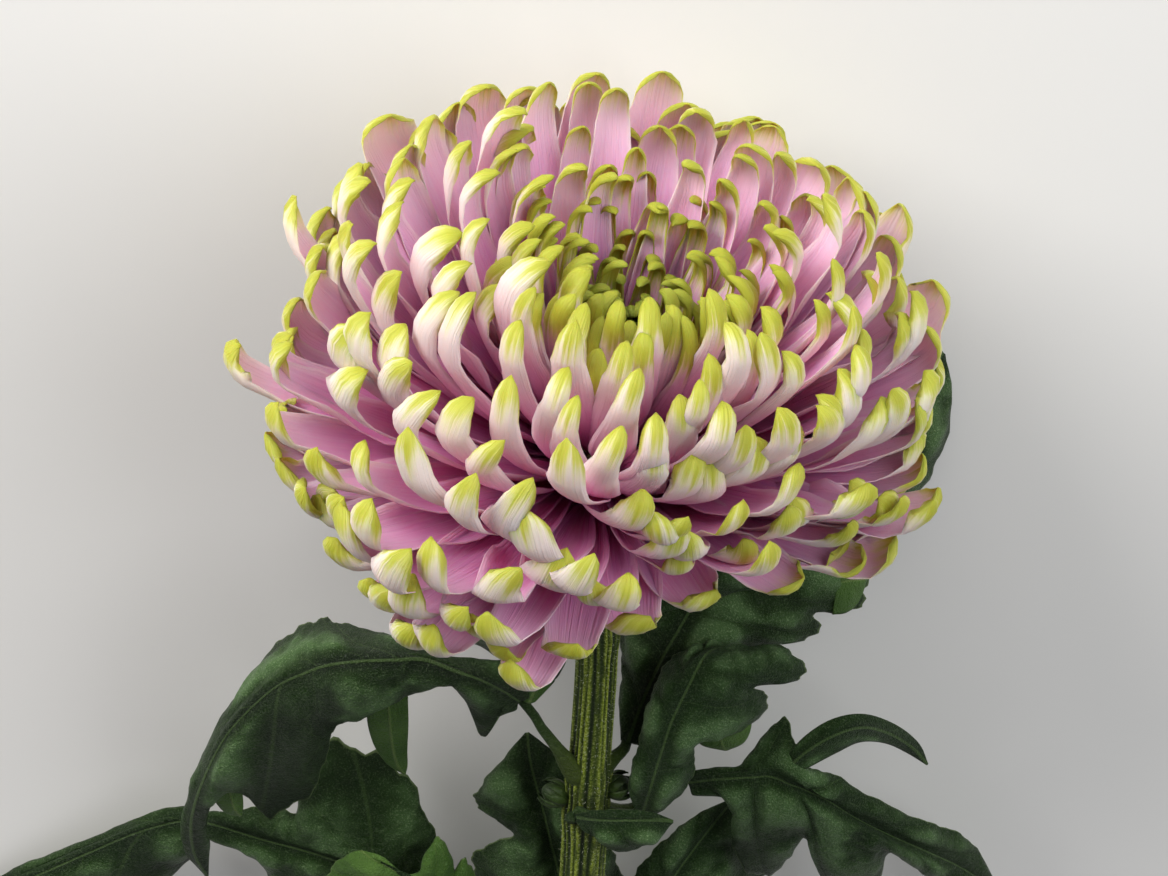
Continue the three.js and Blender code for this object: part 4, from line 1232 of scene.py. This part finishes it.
def build_bloom(material):
    strap = master_grid(FLORET_ACROSS, FLORET_ALONG)
    axes = leaning_axes(HEAD_LEAN)
    shapes = floret_shapes()
    for name, low, high in BLOOM_RINGS:
        bm = bmesh.new()
        layers = float_layers(bm, "tip", "across", "along", "face", "age", "tint")
        for shape in shapes:
            if low <= shape["age"] < high:
                add_floret(bm, strap, shape, axes, layers)
        finish_piece(name, bm, material, ["bloom"])
    bpy.data.meshes.remove(strap)


def profile_rings(root, axes, profile, sides):
    """Rings round the third axis, through a profile of radius and height above the root."""
    i, j, k = axes
    turns = [math.tau * c / sides for c in range(sides)]
    outs = [i * math.cos(turn) + j * math.sin(turn) for turn in turns]
    return [[root + k * height + out * radius for out in outs] for radius, height in profile]


def build_receptacle(material):
    """The dome that the florets stand on."""
    bm = bmesh.new()
    axes = leaning_axes(HEAD_LEAN)
    ring_tube(bm, profile_rings(HEAD_PLACE, axes, RECEPTACLE_PROFILE, RECEPTACLE_SIDES))
    finish_piece("receptacle", bm, material, ["bloom"])


# Calyx.
def add_bract(bm, strap, row, bearing, along_layer):
    """One pointed bract that hugs the calyx and leans out at its tip."""
    i, j, k = leaning_axes(CALYX_LEAN)
    out = i * math.cos(bearing) + j * math.sin(bearing)
    side = k.cross(out)
    for vertex in copied(bm, strap):
        u, s, face = vertex.co.x, vertex.co.y, face_of(vertex)
        lean = math.radians(row["lean"] * (1 - 0.75 * s))
        reach = row["width"] / 2 * (0.75 + 0.5 * smooth(s / 0.45)) * max(1 - s ** 3, 0.02) ** 0.6
        outward = row["radius"] + row["length"] * s * math.sin(lean) + 0.5 * s
        height = row["height"] + row["length"] * s * math.cos(lean * 0.8)
        wrap = u * reach / max(outward, 1)
        around = out * math.cos(wrap) + side * math.sin(wrap)
        shift = (BRACT_THICKNESS / 2 * (1 - abs(u) * 0.7)) * face + 0.25 * (1 - u * u)
        vertex[along_layer] = s
        vertex.co = HEAD_PLACE + k * height + around * (outward + shift)


def build_calyx(material):
    bm = bmesh.new()
    along_layer = bm.verts.layers.float.new("along")
    axes = leaning_axes(CALYX_LEAN)
    ring_tube(bm, profile_rings(HEAD_PLACE, axes, CALYX_PROFILE, CALYX_SIDES))
    strap = master_grid(BRACT_ACROSS, BRACT_ALONG)
    for row in BRACT_ROWS:
        for n in range(row["count"]):
            add_bract(bm, strap, row, math.tau * (n + row["turn"]) / row["count"], along_layer)
    bpy.data.meshes.remove(strap)
    finish_piece("calyx_bracts", bm, material, ["calyx"])


# Stem.
def beside_head(distance, offset):
    return HEAD_PLACE - STEM_UP * distance + ACROSS * offset


STEM_TOP = STEM_BOW[0][0]
STEM_PATH = even_path([beside_head(*bow) for bow in STEM_BOW], STEM_STEPS)


def stem_point(distance):
    part = (distance - STEM_TOP) / (STEM_LENGTH - STEM_TOP)
    place = min(max(part, 0), 1) * STEM_STEPS
    low = min(int(place), STEM_STEPS - 1)
    return STEM_PATH[low].lerp(STEM_PATH[low + 1], place - low)


def stem_girth(distance):
    taper = between(STEM_TAPER, distance, 0, 1)
    bulge = max(math.exp(-(((distance - node) / NODE_REACH) ** 2)) for node in STEM_NODES)
    return STEM_RADIUS * (taper + NODE_SWELLING * bulge)


def rib_height(angle, distance):
    """Six soft corners with finer ridges between them, a little uneven along the stem."""
    drift = 0.25 * noise.noise(Vector((distance * 0.02, 3.1, 0)))
    coarse = math.cos((angle + drift * 0.2) * STEM_RIBS)
    uneven = noise.noise(Vector((math.cos(angle) * 2.6, math.sin(angle) * 2.6, distance * 0.03)))
    fine = math.cos((angle + drift * 0.2) * FINE_RIBS + 0.6 + 3 * uneven)
    return COARSE_RIB_HEIGHT * coarse + FINE_RIB_HEIGHT * fine * (0.8 + 0.8 * uneven)


def build_stem(material):
    rings, marks = [], []
    for r, (point, side, rise) in enumerate(frames_along(STEM_PATH)):
        distance = lerp(STEM_TOP, STEM_LENGTH, r / STEM_STEPS)
        ring, ring_marks = [], []
        for c in range(STEM_SIDES):
            angle = math.tau * c / STEM_SIDES
            height = rib_height(angle, distance)
            radius = stem_girth(distance) + height
            place = point + side * (math.cos(angle) * radius) + rise * (math.sin(angle) * radius)
            place.z = max(place.z, 0)
            ring.append(place)
            ring_marks.append((min(max(0.5 + height / HIGHEST_RIB / 2, 0), 1), 0))
        rings.append(ring)
        marks.append(ring_marks)
    for part, fresh in CUT_RINGS:
        rings.append([STEM_PATH[-1].lerp(place, part) for place in rings[STEM_STEPS]])
        marks.append([(0.5, fresh)] * STEM_SIDES)
    bm = bmesh.new()
    layers = float_layers(bm, "rib", "cut")
    ring_tube(bm, rings, layers.values(), lambda r, c: marks[r][c])
    finish_piece("stem_ribbed", bm, material, ["stem"])


def build_stem_hairs(material):
    """Short hairs that stand on the stem."""
    pick = random.Random(HAIR_SEED)
    hair = master_hair()
    bm = bmesh.new()
    frames = frames_along(STEM_PATH)
    for _ in range(HAIR_COUNT):
        r = pick.uniform(1, STEM_STEPS - 1)
        point, side, rise = frames[int(r)]
        angle = pick.uniform(0, math.tau)
        distance = lerp(STEM_TOP, STEM_LENGTH, r / STEM_STEPS)
        out = side * math.cos(angle) + rise * math.sin(angle)
        round_it = rise * math.cos(angle) - side * math.sin(angle)
        root = point + out * (stem_girth(distance) + rib_height(angle, distance) - HAIR_ROOT)
        if root.z < LOWEST_HAIR:
            continue
        lean = STEM_UP * pick.uniform(-0.5, 0.7) + round_it * pick.uniform(-0.5, 0.5)
        tip = root + (out + lean).normalized() * pick.uniform(*HAIR_LENGTHS)
        add_hair(bm, hair, root, tip)
    finish_piece("stem_hairs", bm, material)


def master_hair():
    """A spike with three sides, from 0 to 1 along Z."""
    deselect_all()
    bpy.ops.mesh.primitive_cone_add(vertices=3, radius1=HAIR_RADIUS, depth=1, location=(0, 0, 0.5))
    bpy.ops.object.transform_apply(location=True)
    return taken_mesh(bpy.context.object)


def add_hair(bm, hair, root, tip):
    along = (tip - root).normalized()
    a = along.orthogonal().normalized()
    b = along.cross(a)
    for vertex in copied(bm, hair):
        x, y, part = vertex.co
        vertex.co = root.lerp(tip, part) + a * x + b * y


# Leaves.
LOOK = math.radians(LOOK_DOWN)
PICTURE_UP = Vector((0, math.sin(LOOK), -math.cos(LOOK)))
PICTURE_OUT = Vector((0, math.cos(LOOK), math.sin(LOOK)))
PICTURE_CENTRE = (
    HEAD_PLACE
    + ACROSS * ((PICTURE["centre_x"] - PICTURE["head_x"]) * PICTURE_SCALE)
    + PICTURE_UP * ((PICTURE["head_y"] - PICTURE["centre_y"]) * PICTURE_SCALE)
)
EYE = PICTURE_CENTRE + PICTURE_OUT * PICTURE_DISTANCE


def seen(place):
    """The point seen at a place in the picture, at a height above the surface."""
    x, y, height = place
    ray = (
        PICTURE_CENTRE
        + ACROSS * ((x - PICTURE["centre_x"]) * PICTURE_SCALE)
        + PICTURE_UP * ((PICTURE["centre_y"] - y) * PICTURE_SCALE)
        - EYE
    )
    return EYE + ray * ((height - EYE.z) / ray.z)


def leaf_rows(picture_rows, bulge=LEAF_BULGE, drop=MIDRIB_DROP):
    """Rows of five points, from margin to margin, with the halves swollen over the midrib."""
    rows = []
    for index, row in enumerate(picture_rows):
        points = [seen(place) for place in row]
        if len(points) == 3:
            left, middle, right = points
            swell = math.sin(math.pi * index / len(picture_rows))
            spans = [min((margin - middle).length / FULL_BULGE_SPAN, 1) for margin in (left, right)]
            halves = [
                margin.lerp(middle, 0.5) + Vector((0, 0, bulge * swell * span))
                for margin, span in zip((left, right), spans)
            ]
            points = [left, halves[0], middle - Vector((0, 0, drop * swell * min(spans))), halves[1], right]
        if len(points) == 1:
            tip = points[0]
            points = [tip.lerp(point, TIP_WIDTH) for point in rows[-1]]
        rows.append(points)
    return rows


def lobe_rows(rows, side):
    """The rows whose margin stands out furthest, one for each lobe."""
    reach = [(row[side] - row[2]).length for row in rows]
    return [
        r for r in range(1, len(rows) - 1)
        if reach[r] >= reach[r - 1] and reach[r] > reach[r + 1]
    ]


def vein_phase(lobes, t, c):
    """A whole number on each side vein, which runs from the midrib out to a lobe's tip."""
    late = t + VEIN_LAG * (1 - abs(c) ** 0.8) - 0.3
    if len(lobes) < 2:
        return (late - (lobes[0] if lobes else 0)) / 2
    i = 1
    while i < len(lobes) - 1 and lobes[i] < late:
        i += 1
    return i - 1 + (late - lobes[i - 1]) / (lobes[i] - lobes[i - 1])


def fine_lines(rows):
    """Smooth lines of five points across a blade, LEAF_STEPS to a row, each with its place."""
    columns = [[row[c] for row in rows] for c in range(5)]
    places = [q / LEAF_STEPS for q in range((len(rows) - 1) * LEAF_STEPS + 1)]
    return [(t, [along_points(column, t) for column in columns]) for t in places]


def leaf_grid(name, rows):
    """The fine grid of a leaf's middle face, with teeth along its margins."""
    phase = sum(map(ord, name)) % 17
    grid = []
    for t, line in fine_lines(rows):
        end = smooth(t / 1.2) * smooth((len(rows) - 1 - t) / 1.2)
        grid_row = []
        for n in range(LEAF_ACROSS + 1):
            c = 2 * n / LEAF_ACROSS - 1
            wave = math.sin(t * 6.4 + phase + (2 if c < 0 else 0)) + 0.5 * math.sin(t * 15 + phase)
            tooth = TOOTH_DEPTH * end * wave * abs(c) ** 4
            grid_row.append(along_line(line, (c * (1 + tooth) + 1) * 2))
        grid.append(grid_row)
    return grid


def lobe_grid(picture_rows):
    """The fine grid of a small lobe that is drawn on its own."""
    lines = fine_lines(leaf_rows(picture_rows, LOBE_BULGE, 0))
    return [[along_line(line, 4 * n / LOBE_ACROSS) for n in range(LOBE_ACROSS + 1)] for _, line in lines]


def along_line(line, place):
    """A point across the blade, also a little past its margins."""
    place = min(max(place, -PAST_MARGIN), 4 + PAST_MARGIN)
    if place < 0:
        return line[0] + (line[0] - along_points(line, 0.3)) * (-place / 0.3)
    if place > 4:
        return line[4] + (line[4] - along_points(line, 3.7)) * ((place - 4) / 0.3)
    return along_points(line, place)


def surface_normals(grid):
    normals = []
    for r, row in enumerate(grid):
        line = []
        for c in range(len(row)):
            ahead = grid[min(r + 1, len(grid) - 1)][c] - grid[max(r - 1, 0)][c]
            beside = row[min(c + 1, len(row) - 1)] - row[max(c - 1, 0)]
            normal = ahead.cross(beside)
            if normal.length < 1e-9:
                normal = UP.copy()
            normal.normalize()
            line.append(normal)
        normals.append(line)
    rise = sum(normal.z for line in normals for normal in line)
    return normals if rise > 0 else [[-normal for normal in line] for line in normals]


def leaf_lift(point, c, phase, rib_distance):
    """How far the blade swells between its veins at a point, about 0 to 1."""
    between_veins = math.sin(math.pi * (phase % 1)) ** 0.7
    valley = smooth(rib_distance / MIDRIB_VALLEY)
    bumps = 0.75 + 0.9 * noise.noise(point * 0.13) + 0.35 * noise.noise(point * 0.45)
    return (0.25 + 0.75 * between_veins) * valley * bumps * (1 - 0.7 * abs(c) ** 5)


def add_blade(bm, grid, lobes, layers, tint, top, pucker):
    """Two sheets over a grid, joined round the rim. top is 1, or -1 where the underside is up."""
    normals = surface_normals(grid)
    columns, rows = len(grid[0]) - 1, len(grid) - 1
    middle = columns // 2
    across = [2 * n / columns - 1 for n in range(columns + 1)]
    phases = [
        [[vein_phase(side, r / LEAF_STEPS, c) for c in across] for r in range(rows + 1)] for side in lobes
    ]
    sheet = master_grid(columns, rows)
    first_face = len(bm.faces)
    places = {}
    for vertex in copied(bm, sheet):
        n = round((vertex.co.x + 1) / 2 * columns)
        r = round(vertex.co.y * rows)
        face = face_of(vertex)
        places[vertex] = (r, n)
        rib_distance = (grid[r][n] - grid[r][middle]).length
        swell = leaf_lift(grid[r][n], across[n], phases[0 if n < middle else 1][r][n], rib_distance)
        vertex.co = grid[r][n] + normals[r][n] * (pucker * swell + face * LEAF_THICKNESS / 2)
        vertex.co.z = max(vertex.co.z, LOWEST_LEAF)
        marks = {
            "swell": swell * top, "midrib": rib_distance, "margin": abs(across[n]),
            "face": face * top, "tint": tint,
        }
        for key, value in marks.items():
            vertex[layers[key]] = value
    bpy.data.meshes.remove(sheet)
    bm.faces.ensure_lookup_table()
    for cell in bm.faces[first_face:]:
        side = 0 if min(places[vertex][1] for vertex in cell.verts) < middle else 1
        for loop in cell.loops:
            r, n = places[loop.vert]
            loop[layers["phase"]] = phases[side][r][n]


def build_leaf(name, leaf, material, tint):
    bm = bmesh.new()
    layers = float_layers(bm, "midrib", "margin", "face", "tint", "swell", "root")
    layers["phase"] = bm.loops.layers.float.new("phase")
    rows = leaf_rows(leaf["rows"])
    lobes = (lobe_rows(rows, 0), lobe_rows(rows, 4))
    add_blade(bm, leaf_grid(name, rows), lobes, layers, tint, -1 if leaf.get("turned") else 1, PUCKER)
    for key, top in (("lobes", 1), ("flaps", -1)):
        for picture_rows in leaf.get(key, []):
            add_blade(bm, lobe_grid(picture_rows), ([], []), layers, tint, top, LOBE_PUCKER)
    add_stalk(bm, leaf, rows, layers, tint)
    finish_piece(name + "_blade", bm, material, [name])


def stalk_radius(t, blade_at):
    """The stalk thins from the stem to the blade, and on along the midrib."""
    if t < blade_at:
        flare = STALK_RADIUS["root"] - STALK_RADIUS["base"]
        thinning = lerp(STALK_RADIUS["base"], STALK_RADIUS["blade"], t / blade_at)
        return thinning + flare * smooth(1 - t / ROOT_REACH)
    return lerp(STALK_RADIUS["blade"], STALK_RADIUS["tip"], (t - blade_at) / (1 - blade_at))


def add_stalk(bm, leaf, rows, layers, tint):
    """The stalk from the stem to the blade, and the midrib under it."""
    midrib = [row[2] for row in rows[: max(2, int(len(rows) * RIB_REACH))]]
    stalk = [stem_point(leaf["node"])] + [seen(place) for place in leaf["stalk"]]
    points = stalk + midrib
    blade_at = len(stalk) / (len(points) - 1)
    rings, marks = [], []
    for i, (point, side, rise) in enumerate(frames_along(even_path(points, STALK_STEPS))):
        t = i / STALK_STEPS
        radius = stalk_radius(t, blade_at)
        if t >= blade_at:
            point = point - rise * (radius * 1.3 * smooth((t - blade_at + 0.03) / 0.05))
        radius *= leaf.get("stalk_girth", 1)
        ring = []
        for c in range(STALK_SIDES):
            angle = math.tau * c / STALK_SIDES
            groove = STALK_GROOVE * max(math.sin(angle), 0) ** 6
            height = math.sin(angle) * radius * (1 - groove)
            ring.append(point + side * (math.cos(angle) * radius) + rise * height)
        rings.append(ring)
        marks.append((STALK_VEIN, 0, STALK_FACE, tint, smooth(1 - t / ROOT_REACH / 1.6)))
    marked = [layers[key] for key in ("midrib", "margin", "face", "tint", "root")]
    for face in ring_tube(bm, rings, marked, lambda r, c: marks[r]):
        for loop in face.loops:
            loop[layers["phase"]] = 0.5


# Buds.
def add_sepal(bm, strap, bud, root, axes, n, along_layer):
    """One pointed sepal that wraps the bud from its root to its tip."""
    a, b, axis = axes
    bearing = math.tau * n / SEPAL_COUNT + SEPAL_TURN
    for vertex in copied(bm, strap):
        u, s, face = vertex.co.x, vertex.co.y, face_of(vertex)
        wrap = bearing + u * SEPAL_WRAP * max(1 - s ** 2.2, 0.03)
        swell = 0.35 + 0.68 * math.sin(math.pi * min(0.1 + 0.75 * s, 1)) + 0.08 * s * s
        lift = SEPAL_THICKNESS / 2 * face + 0.12 * (n % 2) + 0.1 * (1 - u * u)
        around = a * math.cos(wrap) + b * math.sin(wrap)
        height = bud["length"] * (0.05 + 0.95 * s)
        vertex[along_layer] = s
        vertex.co = root + axis * height + around * (bud["radius"] * swell + lift)


def build_bud(name, bud, material):
    """A round bud wrapped in pointed sepals."""
    outward = ACROSS * bud["side"]
    lean = math.radians(BUD_LEAN)
    axis = outward * math.cos(lean) + STEM_UP * math.sin(lean)
    root = stem_point(bud["node"]) + outward * (stem_girth(bud["node"]) - BUD_SEAT)
    a = axis.orthogonal().normalized()
    b = axis.cross(a)
    profile = [(r * bud["radius"], h * bud["length"]) for r, h in BUD_PROFILE]
    rings = profile_rings(root, (a, b, axis), profile, BUD_SIDES)
    bm = bmesh.new()
    along_layer = bm.verts.layers.float.new("along")
    ring_tube(bm, rings, [along_layer], lambda r, c: (BUD_PROFILE[r][1],))
    strap = master_grid(BRACT_ACROSS, BRACT_ALONG)
    for n in range(SEPAL_COUNT):
        add_sepal(bm, strap, bud, root, (a, b, axis), n, along_layer)
    bpy.data.meshes.remove(strap)
    finish_piece(name + "_sepals", bm, material, [name])


# The scene.
def build_floor():
    deselect_all()
    bpy.ops.mesh.primitive_plane_add(size=FLOOR_SIZE, location=(0, 0, 0))
    floor = bpy.context.object
    floor.name = "floor"
    material, tree, surface = new_material("pale floor")
    set_finish(surface, Base_Color=(*FLOOR_COLOUR, 1), Roughness=0.85)
    floor.data.materials.append(material)


def softbox(name, offset, size, power, colour):
    """A square light that looks at the bloom."""
    target = HEAD_PLACE * MM
    right, up, out = offset
    light = bpy.data.lights.new(name, "AREA")
    light.energy = power
    light.size = size
    light.color = colour
    item = bpy.data.objects.new(name, light)
    bpy.context.scene.collection.objects.link(item)
    item.location = target + ACROSS * right + PICTURE_UP * up + PICTURE_OUT * out
    item.rotation_mode = "QUATERNION"
    item.rotation_quaternion = (item.location - target).to_track_quat("Z", "Y")


def build_lights():
    for name, (offset, size, power, colour) in LIGHTS.items():
        softbox(name, offset, size, power, colour)
    world = bpy.data.worlds.new("studio")
    bpy.context.scene.world = world
    world.use_nodes = True
    background = world.node_tree.nodes["Background"]
    background.inputs["Color"].default_value = (*SURROUNDINGS, 1)
    background.inputs["Strength"].default_value = SURROUNDINGS_STRENGTH


def build_camera():
    """Looks at the flower from where the picture's places are seen."""
    data = bpy.data.cameras.new("camera")
    data.sensor_width = 36
    data.lens = data.sensor_width * PICTURE_DISTANCE / (PICTURE["width"] * PICTURE_SCALE)
    data.clip_start = 0.01
    item = bpy.data.objects.new("camera", data)
    bpy.context.scene.collection.objects.link(item)
    turn = Matrix((ACROSS, PICTURE_UP, PICTURE_OUT)).transposed().to_4x4()
    item.matrix_world = Matrix.Translation(EYE * MM) @ turn
    bpy.context.scene.camera = item


def show_true_colours():
    bpy.context.scene.view_settings.view_transform = "Standard"


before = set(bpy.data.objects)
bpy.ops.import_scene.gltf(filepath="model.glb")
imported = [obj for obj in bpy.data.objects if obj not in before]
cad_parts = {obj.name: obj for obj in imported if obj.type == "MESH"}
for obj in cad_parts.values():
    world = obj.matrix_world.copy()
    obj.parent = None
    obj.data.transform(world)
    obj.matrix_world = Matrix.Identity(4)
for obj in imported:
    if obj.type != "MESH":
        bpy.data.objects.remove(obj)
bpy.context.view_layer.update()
build_camera()
show_true_colours()
build_floor()
build_lights()
build_bloom(floret_material())
build_receptacle(plain_material("pale receptacle", RECEPTACLE_COLOUR, 0.6))
build_calyx(bract_material("green bracts", *BRACT_GREENS))
build_stem(stem_material())
build_stem_hairs(plain_material("pale hair", HAIR_COLOUR, 0.6))
leaf_green = leaf_material()
for n, (name, leaf) in enumerate(LEAVES.items()):
    build_leaf(name, leaf, leaf_green, (n * TINT_STEP) % 1)
bud_green = bract_material("bud sepals", *BUD_GREENS)
for name, bud in BUDS.items():
    build_bud(name, bud, bud_green)
